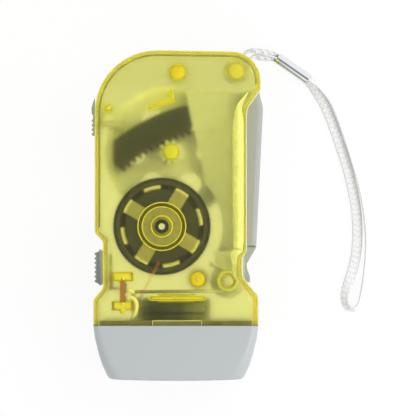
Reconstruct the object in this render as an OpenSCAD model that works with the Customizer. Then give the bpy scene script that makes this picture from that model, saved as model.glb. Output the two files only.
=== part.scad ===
// Squeeze-lever dynamo flashlight, lying on its rear cover.
// The lamp head points along -Y and the lever is on the +X side.
// X = 0 is the centre line of the head and Y = 0 is half way along the length.

/* [Casing] */
// Thickness of the casing and of the lamp head
thick = 30; // [29.5:0.5:34]
// Wall of the two covers
wall = 1.6; // [1.2:0.1:1.8]
// Rounding along the outer edges of the covers
edge_r = 2.2; // [2:0.1:2.6]
// From the centre line to the thumb side
left_x = 25.1; // [24.9:0.1:26.5]
// From the centre line to the lever side
right_x = 21.9; // [21.6:0.1:22.4]
// From the centre line to the strap corner
corner_x = 26.2; // [25.8:0.1:27]
// From the centre line to the sides at the seam with the head
foot_x = 25.5; // [25.2:0.1:26.5]
// From the middle of the length up to the top
top_y = 51; // [50.5:0.25:54]
// How much the top edge falls towards the strap corner
top_fall = 0.8; // [0.4:0.1:1.2]
// From the middle of the length down to the seam with the head
seam_y = 34.5; // [34:0.25:37]
// Radius of the large top corner
crown_r = 19.2; // [18:0.2:21]
// Radius of the strap corner
strap_corner_r = 9; // [7.5:0.25:10]
// Depth of the recess that holds the light switch
recess_depth = 2.5; // [2.2:0.1:2.8]

/* [Lamp head] */
// Length of the head below the seam
head_len = 16.6; // [15.5:0.25:20]
// How much rounder its edges get towards the lens
head_round = 2.2; // [1.6:0.1:2.6]
// How much each side draws in towards the lens
head_taper = 5.2; // [4:0.2:6]
// Wall of the head
head_wall = 1.6; // [1.2:0.1:1.9]
// How far the head's collar reaches into the casing
collar_len = 1.6; // [1.2:0.1:2.4]
// Thickness of the lens
lens_t = 1.4; // [1:0.1:1.8]
// Distance between the two lamps
lamp_pitch = 18; // [17.6:0.1:18.4]
// Mouth radius of a reflector cup
cup_r = 8.2; // [7.4:0.1:8.4]
// Diameter of a light-emitting diode
led_d = 5; // [4.8:0.1:5.2]

/* [Lever] */
// Pivot, from the centre line towards the lever
pivot_x = 16; // [15.8:0.1:16.3]
// Pivot, below the middle of the length
pivot_y = 20.6; // [20.3:0.1:20.9]
// Diameter of the steel pivot pin
pivot_d = 3; // [2.6:0.1:3.2]
// Width of the lever's grip
lever_w = 15; // [14:0.25:16]
// Thickness of the grip's walls
lever_skin = 1.8; // [1.4:0.1:2]
// How far the grip stands out of the casing at its top
lever_proud = 5.1; // [4.4:0.1:5.6]
// Thickness of the lever's inner plate
plate_t = 3.8; // [3.2:0.1:4]
// Radius of the lever's hub
hub_r = 5.4; // [5:0.1:5.6]

/* [Gear train] */
// Teeth that a full circle of the sector would have
sector_teeth = 140; // [140:2:140]
// Tooth module of the sector and the drive pinion
sector_module = 0.67; // [0.665:0.001:0.675]
// Outer radius of the sector
sector_r = 56; // [55.5:0.1:56.1]
// Teeth of the drive pinion
drive_pinion_teeth = 10; // [10:2:10]
// Teeth of the drive gear
drive_gear_teeth = 83; // [83:1:83]
// Teeth of the rotor pinion
rotor_pinion_teeth = 10; // [10:2:10]
// Tooth module of the drive gear and the rotor pinion
gear_module = 0.5; // [0.495:0.001:0.505]
// Thickness of the drive gear's rim
gear_t = 3; // [2.4:0.1:3.1]
// Diameter of the drive axle
axle_d = 2; // [1.6:0.1:2.2]

/* [Generator] */
// Outer radius of the flywheel
flywheel_r = 15.1; // [14.8:0.1:15.4]
// Height of the flywheel
flywheel_h = 11.4; // [11:0.1:11.6]
// Wall of the flywheel's rim
rim_t = 0.9; // [0.7:0.1:1]
// Thickness of the magnet ring
magnet_t = 1.2; // [0.9:0.1:1.3]
// Width of a pole arm of the front plate
arm_w = 4.5; // [3.6:0.1:4.8]
// Width of a pole finger of the rear plate
finger_w = 5.2; // [4:0.1:5.2]
// Thickness of the pole plates
pole_t = 1; // [0.7:0.1:1.1]
// Diameter of the rotor shaft
shaft_d = 2; // [1.6:0.1:2.2]

/* [Sliders] */
// Travel of the light switch
switch_travel = 1.8; // [1.2:0.1:2]
// Travel of the lever lock
lock_travel = 2.4; // [2:0.1:2.4]
// Pitch of the thumb ribs on both sliders
rib_pitch = 1.4; // [1.2:0.1:1.6]

/* [Springs] */
// Wire of the lever's return spring
return_wire = 1; // [0.8:0.1:1]
// Rise of one turn of the return spring
return_pitch = 1.55; // [1.5:0.05:1.6]
// Wire of the clutch spring
clutch_wire = 0.4; // [0.3:0.05:0.45]
// Turns of the clutch spring
clutch_turns = 4; // [3:1:4]

/* [Strap] */
// Diameter of the braided cord
cord_d = 1.1; // [0.8:0.1:1.2]
// Diameter of the rounded loop band
band_d = 1.4; // [1:0.1:1.4]
// Length of the crimp sleeve
crimp_len = 11.8; // [10:0.2:12]

/* [Hidden] */
$fn = 48;

// Cuts run past the material by this much
over = 0.5;
// Radial play of a shaft in its hole
run_play = 0.04;
// Play between flat faces that slide or turn past each other
slide_play = 0.15;
// Play between neighbours that never touch
clear = 0.3;
// Smallest corner that an inset outline keeps
least_r = 0.25;
mid_z = thick / 2;
front_in = thick - wall;

// Colours as seen in daylight
case_colour = [0.88, 0.87, 0.35, 0.55];
grey_plastic = [0.76, 0.78, 0.78];
slider_grey = [0.6, 0.62, 0.64];
black_plastic = [0.13, 0.14, 0.12];
steel = [0.75, 0.75, 0.76];
spring_steel = [0.35, 0.36, 0.34];
copper = [0.8, 0.42, 0.2];
magnet_dark = [0.17, 0.17, 0.15];
natural_nylon = [0.9, 0.9, 0.82];
zinc_plate = [0.72, 0.71, 0.66];
bronze = [0.25, 0.23, 0.18];
board_brown = [0.62, 0.4, 0.2];
chrome = [0.85, 0.86, 0.88];
white_braid = [0.93, 0.93, 0.93];
clear_plastic = [0.9, 0.95, 1, 0.3];
lamp_white = [0.93, 0.95, 0.98, 0.7];

// Vectors and rounded outlines
function unit(v) = v / norm(v);
function left_of(v) = [-v.y, v.x];
function ring_item(list, i) = list[(i + len(list)) % len(list)];
function flat(c) = [c.x, c.y];
function spin(v, a) = [v.x * cos(a) - v.y * sin(a), v.x * sin(a) + v.y * cos(a)];
function polar(r, a) = [r * cos(a), r * sin(a)];

// A corner is [x, y, radius, steps]. Corners run counter-clockwise and inset moves every side inwards.
function corner_arc(corners, i, inset) =
    let (
        here = ring_item(corners, i),
        a = unit(flat(here) - flat(ring_item(corners, i - 1))),
        b = unit(flat(ring_item(corners, i + 1)) - flat(here)),
        turn = atan2(cross(a, b), a * b),
        side = turn < 0 ? -1 : 1,
        n = left_of(a),
        m = left_of(b),
        r = max(least_r, here[2] - side * inset),
        p = flat(here) + inset * (n + m) / (1 + n * m),
        start = p - a * r * tan(abs(turn) / 2),
        centre = start + side * r * n
    )
    [for (k = [0:here[3]]) centre + spin(-side * r * n, turn * k / here[3])];
function rounded(corners, inset = 0) =
    [for (i = [0:len(corners) - 1]) each corner_arc(corners, i, inset)];
function at_z(points, z) = [for (p = points) [p.x, p.y, z]];

// Closed skin through rings that have the same number of points. A bowed ring is closed by flat strips
// between its mirrored points, whose numbers add up to fold.
function cap(n, fold) =
    fold == 0 ? [[for (k = [0:n - 1]) k]] :
    let (first = (fold + 1) / 2)
    [for (k = [first:first + n / 2 - 2]) [for (i = [k, k + 1, fold - k - 1, fold - k]) (i + n) % n]];
module skin(rings, fold = 0) {
    n = len(rings[0]);
    last = (len(rings) - 1) * n;
    polyhedron(
        points = [for (r = rings) each r],
        faces = concat(
            cap(n, fold),
            [for (i = [0:len(rings) - 2]) for (k = [0:n - 1])
                let (a = i * n + k, b = i * n + (k + 1) % n)
                each [[a, a + n, b], [a + n, b + n, b]]],
            [for (f = cap(n, fold)) [for (i = [len(f) - 1:-1:0]) last + f[i]]]
        ),
        convexity = 8
    );
}

// Round tube along a path, with its frame carried from ring to ring
function tangents(path) =
    [for (i = [0:len(path) - 1]) unit(path[min(i + 1, len(path) - 1)] - path[max(i - 1, 0)])];
function square_to(u, t) = unit(u - t * (u * t));
function any_square(t) = square_to(abs(t.z) < abs(t.x) + abs(t.y) ? [0, 0, 1] : [1, 0, 0], t);
function carried(t) =
    [for (i = 0, u = any_square(t[0]); i < len(t); i = i + 1, u = i < len(t) ? square_to(u, t[i]) : u) u];
module tube(path, d, sides) {
    t = tangents(path);
    u = carried(t);
    skin([for (i = [0:len(path) - 1])
        [for (k = [0:sides - 1])
            let (a = -360 * k / sides)
            path[i] + d / 2 * (cos(a) * u[i] + sin(a) * cross(u[i], t[i]))]]);
}
// Least gap between parts of a wire that are at least this many points apart along it
function wire_gap(path, d, apart) =
    min([for (i = [0:len(path) - 1 - apart]) for (j = [i + apart:len(path) - 1])
        norm(path[i] - path[j])]) - d;

module plate_at(z, h) {
    translate([0, 0, z])
        linear_extrude(h)
            children();
}
module post(p, z0, z1, r) {
    translate([p.x, p.y, z0])
        cylinder(h = z1 - z0, r = r);
}
module ring_wall(p, z0, z1, r_out, r_in) {
    translate([p.x, p.y, z0])
        difference() {
            cylinder(h = z1 - z0, r = r_out);
            translate([0, 0, -over])
                cylinder(h = z1 - z0 + 2 * over, r = r_in);
        }
}
module block(x0, x1, y0, y1, z0, z1) {
    translate([x0, y0, z0])
        cube([x1 - x0, y1 - y0, z1 - z0]);
}

// Involute teeth, 25 degrees, with shortened tips as on small moulded gears
pressure = 25;
tip_share = 0.8;
root_share = 1.15;
// Play along the pitch circle of each gear
tooth_play = 0.1;
function involute(a) = tan(a) * 180 / PI - a;
function half_tooth(teeth, module_size, r) =
    let (base = module_size * teeth / 2 * cos(pressure))
    90 / teeth + involute(pressure) - involute(acos(min(1, base / max(r, base))));
function play_angle(r) = tooth_play / 4 / r * 180 / PI;
function tooth_radii(pitch_r, module_size, shares) =
    [for (s = shares) pitch_r + module_size * (s * (tip_share + root_share) - root_share)];
pinion_flank_shares = [0, 0.3, 0.5, 0.7, 0.85, 1];
gear_flank_shares = [0, 0.6, 1];
function gear_outline(teeth, module_size, first, shares) =
    let (radii = tooth_radii(module_size * teeth / 2, module_size, shares), n = len(radii))
    [for (i = [0:teeth - 1]) let (mid = first + 360 * i / teeth) each concat(
        [for (r = radii) polar(r, mid - half_tooth(teeth, module_size, r) + play_angle(r))],
        [for (k = [n - 1:-1:0]) let (r = radii[k])
            polar(r, mid + half_tooth(teeth, module_size, r) - play_angle(r))]
    )];

// Shafts: angles are measured from straight up, towards the thumb side
pivot = [pivot_x, -pivot_y];
drive_lean = 23.6;
rotor_lean = 7.2;
sector_pitch_r = sector_teeth * sector_module / 2;
drive_pinion_pitch_r = drive_pinion_teeth * sector_module / 2;
drive_gear_pitch_r = drive_gear_teeth * gear_module / 2;
rotor_pinion_pitch_r = rotor_pinion_teeth * gear_module / 2;
drive_dir = 90 + drive_lean;
rotor_dir = -90 - rotor_lean;
drive_axis = pivot + polar(sector_pitch_r - drive_pinion_pitch_r, drive_dir);
rotor_axis = drive_axis + polar(drive_gear_pitch_r + rotor_pinion_pitch_r, rotor_dir);

// Levels of the train, up from the rear face
gear_z = 9.5;
ratchet_h = 0.6;
pinion_z = gear_z + gear_t + ratchet_h + slide_play;
pinion_h = 4.7;
pinion_top = pinion_z + pinion_h;
plate_z = mid_z - plate_t / 2 + slide_play + clear;
// The spring's long leg keeps its level, and its turns and the lever's hub fill the room below it
spring_leg_z = 25.55;
spring_leg_lean = 70.5;
spring_turn = spring_leg_lean + 90 + 720;
spring_rise = return_pitch * spring_turn / 360;
spring_z = spring_leg_z - spring_rise;
hub_h = 2 * (spring_z - return_wire / 2 - slide_play - plate_z - plate_t / 2);
hub_z = plate_z + plate_t / 2 - hub_h / 2;
flywheel_z = 13.6;
flywheel_top = flywheel_z + flywheel_h;
floor_t = 1.4;
front_plate_z = flywheel_top + 0.2;
rear_plate_z = flywheel_z + floor_t + pole_t;

// Outline of the casing, seen from the front
step_x = 1.3;
hip_y = 25.4;
waist_y = 19.3;
step_low_y = 13.5;
step_high_y = 11.5;
shoulder_low_y = 32.4;
shoulder_high_y = 38.4;
recess_top_y = 5.8;
recess_in_y = 8.4;
recess_out_y = 22.8;
recess_end_y = 26.4;
blend_r = 3;
nick_r = 0.5;
case_corners = [
    [foot_x, -seam_y - head_len, nick_r, 1],
    [foot_x, -hip_y, nick_r * 3, 3],
    [right_x - step_x, -waist_y, blend_r, 4],
    [right_x - step_x, -step_low_y, nick_r, 2],
    [right_x, -step_high_y, nick_r, 2],
    [right_x, shoulder_low_y, blend_r * 2, 5],
    [corner_x, shoulder_high_y, nick_r * 3, 3],
    [corner_x, top_y - top_fall, strap_corner_r, 7],
    [-left_x, top_y, crown_r, 12],
    [-left_x, -recess_top_y, nick_r * 3, 3],
    [-left_x + recess_depth, -recess_in_y, nick_r * 3, 3],
    [-left_x + recess_depth, -recess_out_y, nick_r * 3, 3],
    [-foot_x, -recess_end_y, nick_r * 3, 3],
    [-foot_x, -seam_y - head_len, nick_r, 1]
];
// Open outline from just below the right end of the seam round to its left end, moved inwards by inset
function case_outline(inset = 0) = concat(
    [[foot_x - inset, -seam_y - over]],
    [for (i = [1:len(case_corners) - 2]) each corner_arc(case_corners, i, inset)],
    [[-foot_x + inset, -seam_y - over]]
);
seam_groove = 0.25;
inner_r = edge_r - wall;
roof_lap = 0.6;
// Half casing: a rim swept along the outline, each row an inset and a level, and a flat roof inside it
rim_section = concat(
    [[edge_r + 2 * roof_lap, thick]],
    [for (a = [90:-22.5:0]) [edge_r * (1 - cos(a)), thick - edge_r * (1 - sin(a))]],
    [[0, mid_z + seam_groove], [seam_groove, mid_z], [wall, mid_z]],
    [for (a = [0:30:90]) [wall + inner_r * (1 - cos(a)), front_in - inner_r * (1 - sin(a))]],
    [[edge_r + 2 * roof_lap, front_in]]
);
module half_shell() {
    rows = [for (row = rim_section) at_z(case_outline(row[0]), row[1])];
    difference() {
        union() {
            skin([for (k = [0:len(rows[0]) - 1]) [for (row = rows) row[k]]]);
            plate_at(front_in, wall)
                polygon(case_outline(edge_r + roof_lap));
        }
        block(-foot_x - over, foot_x + over, -seam_y - 2 * over, -seam_y, mid_z - over, thick + over);
    }
}

// Openings that both covers share
slot_play = 0.5;
slot_low_y = 23.2;
slot_high_y = 39;
strap_slot_w = 4.4;
strap_slot_h = 4;
strap_slot_lean = 58;
module lever_slot() {
    block(right_x - 3 * wall, corner_x + over,
        -slot_low_y, slot_high_y, mid_z - lever_w / 2 - slot_play, mid_z + lever_w / 2 + slot_play);
}
module strap_slot() {
    translate([corner_x - strap_corner_r, top_y - top_fall - strap_corner_r, mid_z])
        rotate(strap_slot_lean)
            translate([strap_corner_r - 2 * wall, -strap_slot_w / 2, -strap_slot_h / 2])
                cube([4 * wall, strap_slot_w, strap_slot_h]);
}

// Posts and ribs inside the covers
screw_a = [0.5, 44];
screw_b = [18.6, 44.3];
screw_c = [6.8, -20.1];
screws = [screw_a, screw_b, screw_c];
screw_post_r = 2.5;
screw_thread_r = 0.95;
screw_head_r = 2.1;
screw_head_h = 1.4;
screw_head_z = 3.4;
cross_share = 1.2;
screw_wide_r = 3.2;
screw_end_z = 18.6;
dowel = [-20.9, 32.7];
dowel_r = 1.05;
axle_post_r = 2.6;
axle_post_z = 22.4;
axle_end_z = 24.3;
bush_r = 2.1;
bush_post_r = 3.2;
bush_skin = 0.5;
bush_end_z = thick - bush_skin - slide_play;
nest_r_out = 7.45;
nest_r_in = 6.05;
pivot_post_r = 2.3;
pivot_end_z = 26.4;
stop_r = 57.9;
stop_from = 16.4;
stop_to = 24.7;
stop_arm = 3.6;
rib_t = 1.4;
rest_rib_y = 24.7;
rest_rib_x0 = -7.6;
rest_rib_x1 = 8.4;
rest_pad_x0 = -5.5;
rest_pad_x1 = 5.9;
rest_pad_h = 2.5;
rest_rib_z = 20;
board_t = 1.6;
board_x = -17.3;
board_y0 = -28;
board_y1 = -19.6;
board_z0 = 12;
board_z1 = 27.5;
guide_z = 20;
guide_w = 6.6;
guide_h = 2.8;
guide_grip = 1.1;

// The rib that stops the lever: an arc round the pivot and a short radial arm
module stop_rib() {
    step = (stop_to - stop_from) / 6;
    stop_arc = [for (a = [stop_from:step:stop_to]) pivot + polar(stop_r, 90 + a)];
    outer_arc = [for (a = [stop_to:-step:stop_from]) pivot + polar(stop_r + rib_t, 90 + a)];
    polygon(concat(stop_arc, outer_arc));
    translate(pivot)
        rotate(90 + stop_from)
            translate([stop_r, 0])
                square([stop_arm, rib_t]);
}
module board_guide(y0, y1) {
    difference() {
        block(board_x - (guide_w - board_t) / 2, board_x + (guide_w + board_t) / 2,
            y0, y1, guide_z, front_in + over);
        block(board_x - clear / 2, board_x + board_t + clear / 2,
            board_y0 - clear / 2, board_y1 + clear / 2, guide_z - over, board_z1 + clear / 2);
    }
}
latch_w = 15.2;
latch_x = 0.4;
latch_h = 0.6;
module front_posts() {
    for (s = screws)
        post(s, mid_z, front_in + over, screw_post_r);
    post(dowel, mid_z - dowel_r, front_in + over, dowel_r);
    post(drive_axis, axle_post_z, front_in + over, axle_post_r);
    post(pivot, plate_z + plate_t + clear + (hub_h - plate_t) / 2, front_in + over, pivot_post_r);
    ring_wall(rotor_axis, front_plate_z + pole_t, front_in + over, nest_r_out, nest_r_in);
    post(rotor_axis, front_plate_z + pole_t + clear, front_in + over, bush_post_r);
    plate_at(plate_z, front_in + over - plate_z)
        stop_rib();
    block(rest_rib_x0, rest_rib_x1,
        -rest_rib_y - rest_pad_h / 2 - rib_t / 2, -rest_rib_y - rest_pad_h / 2 + rib_t / 2,
        rest_rib_z, front_in + over);
    for (x = [rest_rib_x0, rest_rib_x1])
        post([x, -rest_rib_y - rest_pad_h / 2], rest_rib_z, front_in + over, rib_t / 2);
    block(rest_pad_x0, rest_pad_x1, -rest_rib_y - rest_pad_h, -rest_rib_y,
        rest_rib_z, front_in + over);
    board_guide(board_y1 - guide_grip, board_y1 - guide_grip + guide_h);
    board_guide(board_y0 + guide_grip - guide_h, board_y0 + guide_grip);
}
module front_cover() {
    color(case_colour)
        difference() {
            union() {
                difference() {
                    half_shell();
                    lever_slot();
                    strap_slot();
                    switch_slot();
                    lock_slot();
                    post(pivot, mid_z, spring_leg_z + return_wire / 2 + clear,
                        spring_r + return_wire / 2 + clear);
                }
                front_posts();
            }
            for (s = screws)
                post(s, mid_z - over, screw_end_z + clear, screw_thread_r + run_play);
            post(drive_axis, axle_post_z - over, axle_end_z + slide_play, axle_d / 2 + run_play);
            post(pivot, mid_z, pivot_end_z + slide_play, pivot_d / 2 + run_play);
            post(rotor_axis, mid_z, bush_end_z + slide_play, bush_r + run_play);
            block(latch_x - latch_w / 2 - slide_play, latch_x + latch_w / 2 + slide_play,
                -seam_y - over, -seam_y + collar_len + slide_play,
                front_in - over, front_in + latch_h + slide_play);
        }
}
module rear_cover() {
    color(case_colour)
        difference() {
            union() {
                difference() {
                    translate([0, 0, thick])
                        mirror([0, 0, 1])
                            half_shell();
                    lever_slot();
                    strap_slot();
                    switch_slot();
                    lock_slot();
                }
                for (s = screws) {
                    post(s, wall - over, screw_head_z + screw_head_h + wall, screw_wide_r);
                    post(s, wall - over, mid_z, screw_post_r);
                }
                post(dowel, wall - over, mid_z - slide_play, dowel_r + wall / 2);
                post(drive_axis, wall - over, gear_z - slide_play, axle_post_r);
                post(pivot, wall - over, hub_z - slide_play, screw_wide_r);
                post(rotor_axis, wall - over, rear_bush_z + bush_h, bush_post_r + clear);
            }
            for (s = screws) {
                post(s, -over, screw_head_z + screw_head_h, screw_head_r + clear);
                post(s, -over, mid_z + over, screw_thread_r + clear);
            }
            post(dowel, mid_z - 3 * dowel_r, mid_z + over, dowel_r + run_play);
            post(drive_axis, wall + run_play, mid_z, axle_d / 2 + run_play);
            post(pivot, wall + run_play, mid_z, pivot_d / 2 + run_play);
            post(rotor_axis, rear_bush_z, mid_z, bush_r + run_play);
        }
}

// Lamp head: rows are shares of its length and of its draw-in
head_y = seam_y + head_len;
head_shares = [
    [0, 0],
    [0.23, 0.09],
    [0.51, 0.3],
    [0.73, 0.52],
    [0.91, 0.78],
    [0.97, 0.9],
    [1, 1.07]
];
flat_draw_share = 0.6;
mouth_w = foot_x - head_taper * head_shares[6][1];
mouth_h = thick / 2 - head_taper * head_shares[6][1] * flat_draw_share;
head_bow = 0.45;
lens_rim = 1.3;
lens_sunk = 0.3;
lens_ledge = 1.2;
lens_y = head_y - lens_t - lens_sunk - slide_play;
corner_steps = 6;
bow_fold = 2 * corner_steps + 1;

// Rounded section of the head at a distance y below the middle. Its long sides have more points, for the bow.
function between(a, b) = [for (k = [1:corner_steps - 1]) a + (b - a) * k / corner_steps];
function head_ring(y, w, h, r, bow = 0) =
    let (
        ring = rounded([for (c = [[w, -h], [w, h], [-w, h], [-w, -h]]) [c.x, c.y, r, corner_steps]]),
        half = len(ring) / 2,
        whole = concat(
            [for (k = [0:half - 1]) ring[k]], between(ring[half - 1], ring[half]),
            [for (k = [half:2 * half - 1]) ring[k]], between(ring[2 * half - 1], ring[0])
        )
    )
    [for (p = whole) [p.x, -y - bow * (1 - pow(p.x / w, 2)), mid_z + p.y]];
function head_at(share, inset) =
    let (draw = head_taper * share[1])
    head_ring(seam_y + head_len * share[0], foot_x - draw - inset,
        thick / 2 - draw * flat_draw_share - inset,
        edge_r + head_round * share[0] - inset, head_bow * share[0]);
function lens_ring(y, inset) =
    head_ring(y, mouth_w - lens_rim - inset, mouth_h - lens_rim - inset,
        edge_r + head_round - lens_rim - inset / 2, head_bow);
collar_in = wall + slide_play;
function collar_ring(y, inset) =
    head_ring(y, foot_x - collar_in - inset, thick / 2 - collar_in - inset, edge_r - collar_in - inset / 2);
latch_pad = 0.45;
module head_bezel() {
    color(grey_plastic)
        difference() {
            union() {
                skin([for (share = head_shares) head_at(share, 0)], bow_fold);
                skin([collar_ring(seam_y - collar_len, 0), collar_ring(seam_y + wall, 0)], bow_fold);
                block(latch_x - latch_w / 2, latch_x + latch_w / 2,
                    -seam_y - wall, -seam_y + collar_len, front_in - wall, front_in + latch_pad);
            }
            skin(concat(
                [collar_ring(seam_y - collar_len - over, head_wall), collar_ring(seam_y, head_wall)],
                [for (i = [1:3]) head_at(head_shares[i], head_wall)],
                [lens_ring(lens_y - lens_ledge, lens_ledge), lens_ring(lens_y + over, lens_ledge)]
            ), bow_fold);
            skin([lens_ring(lens_y, 0), lens_ring(head_y + over, 0)], bow_fold);
        }
}
module lens() {
    color(clear_plastic)
        skin([for (y = [0, lens_t]) lens_ring(lens_y + slide_play + y, slide_play)], bow_fold);
}

// Reflector: two cups in one plate, behind the lens ledge
cup_y = lens_y - lens_ledge - clear;
cup_depth = 8.4;
cup_t = 0.8;
cup_neck_share = 0.36;
cup_steps = 8;
reflector_t = 1;
led_r = led_d / 2;
led_flange_r = led_r + 0.4;
led_flange_h = 1;
led_len = 8.6;
led_board_t = 1.6;
led_board_y = cup_y - cup_depth - led_flange_h - slide_play;
led_board_w = 29.6;
led_board_h = 11.6;
function cup_curve(share) = cup_r * (cup_neck_share + (1 - cup_neck_share) * sqrt(share));
module cup(extra) {
    rotate_extrude()
        polygon(concat(
            [[0, 0]],
            [for (i = [0:cup_steps]) [cup_curve(i / cup_steps) + extra, cup_depth * i / cup_steps]],
            [[0, cup_depth]]
        ));
}
module facing_lens(x, y) {
    translate([x, -y, mid_z])
        rotate([90, 0, 0])
            children();
}
module reflector() {
    color(chrome)
        difference() {
            union() {
                skin([for (y = [-reflector_t, 0]) lens_ring(cup_y + y, lens_ledge - clear)], bow_fold);
                for (side = [-1, 1])
                    facing_lens(side * lamp_pitch / 2, cup_y - cup_depth)
                        cup(cup_t);
            }
            for (side = [-1, 1]) {
                facing_lens(side * lamp_pitch / 2, cup_y - cup_depth)
                    cup(0);
                facing_lens(side * lamp_pitch / 2, cup_y - cup_depth - over)
                    cylinder(h = 2 * over, r = cup_curve(0));
                facing_lens(side * lamp_pitch / 2, cup_y - over)
                    cylinder(h = 2 * over + head_bow, r = cup_r);
            }
        }
}
module leds() {
    color(lamp_white)
        for (side = [-1, 1])
            facing_lens(side * lamp_pitch / 2, led_board_y)
                rotate_extrude()
                    polygon(concat(
                        [[0, 0], [led_flange_r, 0], [led_flange_r, led_flange_h], [led_r, led_flange_h]],
                        [for (a = [0:15:90]) [led_r * cos(a), led_len - led_r + led_r * sin(a)]]
                    ));
}
module led_board() {
    color(board_brown)
        block(-led_board_w / 2, led_board_w / 2,
            -led_board_y, -led_board_y + led_board_t,
            mid_z - led_board_h / 2, mid_z + led_board_h / 2);
}

// Rechargeable button cells, on edge in a cradle on the rear cover
cell_r = 10;
cell_t = 3.2;
cell_x = -0.8;
cell_y = 27.5;
cell_rim = 0.9;
cradle_t = 1.4;
cradle_top = 12;
cradle_len = 5;
contact_t = 0.3;
contact_w = 5;
cell_pack = 2 * cell_t;
module button_cells() {
    color(steel)
        for (i = [0, 1])
            facing_lens(cell_x, cell_y + i * cell_t)
                rotate_extrude()
                    polygon([[0, 0], [cell_r - cell_rim, 0],
                        [cell_r, cell_rim / 2], [cell_r, cell_t - cell_rim / 2],
                        [cell_r - cell_rim, cell_t - slide_play / 2], [0, cell_t - slide_play / 2]]);
}
module cell_cradle() {
    reach = cell_r + cradle_t;
    color(black_plastic)
        difference() {
            block(cell_x - reach, cell_x + reach,
                -cell_y - cradle_len, -cell_y + cradle_t, wall, cradle_top);
            facing_lens(cell_x, cell_y - slide_play)
                cylinder(h = cell_pack + 2 * slide_play, r = cell_r + slide_play);
            facing_lens(cell_x, cell_y - cradle_t - over)
                cylinder(h = cell_pack + 2 * cradle_t + 2 * over, r = cell_r - cradle_t);
        }
}
module cell_contacts() {
    low = mid_z - cell_r + cradle_t + 2 * clear;
    top = mid_z + cell_r / 2;
    color(steel)
        for (y = [slide_play / 2, -cell_pack - contact_t])
            block(cell_x - contact_w / 2, cell_x + contact_w / 2,
                y - cell_y, y - cell_y + contact_t, low, top);
}

// Lever: grip, inner plate and hub, in the squeezed position of the photograph
grip_top_y = 38.2;
grip_nose = 1.3;
grip_high_y = 33;
grip_low_y = 10.2;
hub_skin_r = 7;
grip_depth = 5.6;
grip_round = 1.5;
grip_out_x = right_x + lever_proud;
grip_foot_in = 2.1;
grip_foot_x = grip_out_x - grip_foot_in;
grip_corners = [
    [grip_foot_x, -grip_low_y, nick_r, 2],
    [grip_out_x, grip_high_y, nick_r * 6, 4],
    [grip_out_x - grip_nose, grip_top_y, nick_r * 2, 4],
    [right_x - grip_depth / 4, grip_top_y - nick_r, nick_r, 2],
    [right_x - grip_depth / 4, -grip_low_y - nick_r, nick_r, 2]
];
module grip_body() {
    z0 = mid_z - lever_w / 2;
    z1 = mid_z + lever_w / 2;
    skin(concat(
        [for (a = [90:-30:0])
            at_z(rounded(grip_corners, grip_round * (1 - cos(a))), z0 + grip_round * (1 - sin(a)))],
        [for (a = [0:30:90])
            at_z(rounded(grip_corners, grip_round * (1 - cos(a))), z1 - grip_round * (1 - sin(a)))]
    ));
}
module grip_outline(inset) {
    polygon(rounded(grip_corners, inset));
}
plate_top_y = 37.8;
plate_left_top = [3.1, plate_top_y];
plate_left_mid = [4.6, 29.9];
plate_left_low = [7.45, 18.4];
plate_end_y = 12;
cutout_r = 18.8;
cutout_from = 43;
cutout_to = -26.5;
module plate_outline() {
    difference() {
        polygon([plate_left_top, plate_left_mid, plate_left_low,
            rotor_axis + polar(cutout_r - over, cutout_from),
            rotor_axis + polar(cutout_r - over, cutout_to),
            [right_x, -plate_end_y], [right_x, plate_top_y]]);
        translate(rotor_axis)
            circle(cutout_r);
    }
}
arm_left_x = 12.1;
arm_low_y = 16.2;
skin_from = -4;
skin_mid = 30;
skin_to = 78;
module hub_outline() {
    translate(pivot)
        circle(hub_r);
    polygon([[arm_left_x, -plate_end_y + over], [arm_left_x, -arm_low_y],
        pivot, pivot + [hub_skin_r - over, 0], [right_x - over, -plate_end_y + over]]);
}
module hub_skin() {
    intersection() {
        translate(pivot)
            difference() {
                circle(hub_skin_r);
                circle(hub_skin_r - lever_skin);
            }
        translate(pivot)
            polygon([[0, 0], polar(2 * hub_skin_r, skin_from),
                polar(3 * hub_skin_r, skin_mid), polar(2 * hub_skin_r, skin_to)]);
    }
    polygon([pivot + polar(hub_skin_r, 0), pivot + polar(hub_skin_r, skin_to / 2),
        [grip_foot_x, -grip_low_y], [right_x - grip_depth / 4, -grip_low_y],
        pivot + polar(hub_skin_r - lever_skin, skin_to / 2)]);
}
sector_tail = 8.5;
tail_lap = 1;
tail_rim_w = 1;
tail_root_w = 2;
tail_h = 1.6;
stud_r = 0.9;
studs = [[5.6, 31.6], [9.2, 31.2]];
module lever() {
    z0 = mid_z - lever_w / 2;
    z1 = mid_z + lever_w / 2;
    color(grey_plastic)
        difference() {
            union() {
                difference() {
                    grip_body();
                    plate_at(z0 + lever_skin, plate_z - z0 - lever_skin)
                        pocket_outline();
                    plate_at(plate_z + plate_t, z1 - lever_skin - plate_z - plate_t)
                        pocket_outline();
                }
                plate_at(plate_z, plate_t)
                    plate_outline();
                plate_at(hub_z, hub_h)
                    hub_outline();
                plate_at(z0, lever_w)
                    hub_skin();
            }
            plate_at(plate_z - over, tail_h + over + slide_play)
                tail_outline(clear);
            post(pivot, 0, thick, pivot_d / 2 + run_play);
        }
    color(grey_plastic)
        for (s = studs)
            post(s, plate_z, plate_z + tail_h + over, stud_r);
}
module pocket_outline() {
    intersection() {
        grip_outline(0);
        polygon([[0, lever_skin - grip_low_y], [grip_foot_x - lever_skin, lever_skin - grip_low_y],
            [grip_out_x - lever_skin, grip_high_y],
            [grip_out_x - lever_skin - grip_nose, grip_top_y - lever_skin],
            [0, grip_top_y - lever_skin]]);
    }
}

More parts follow.
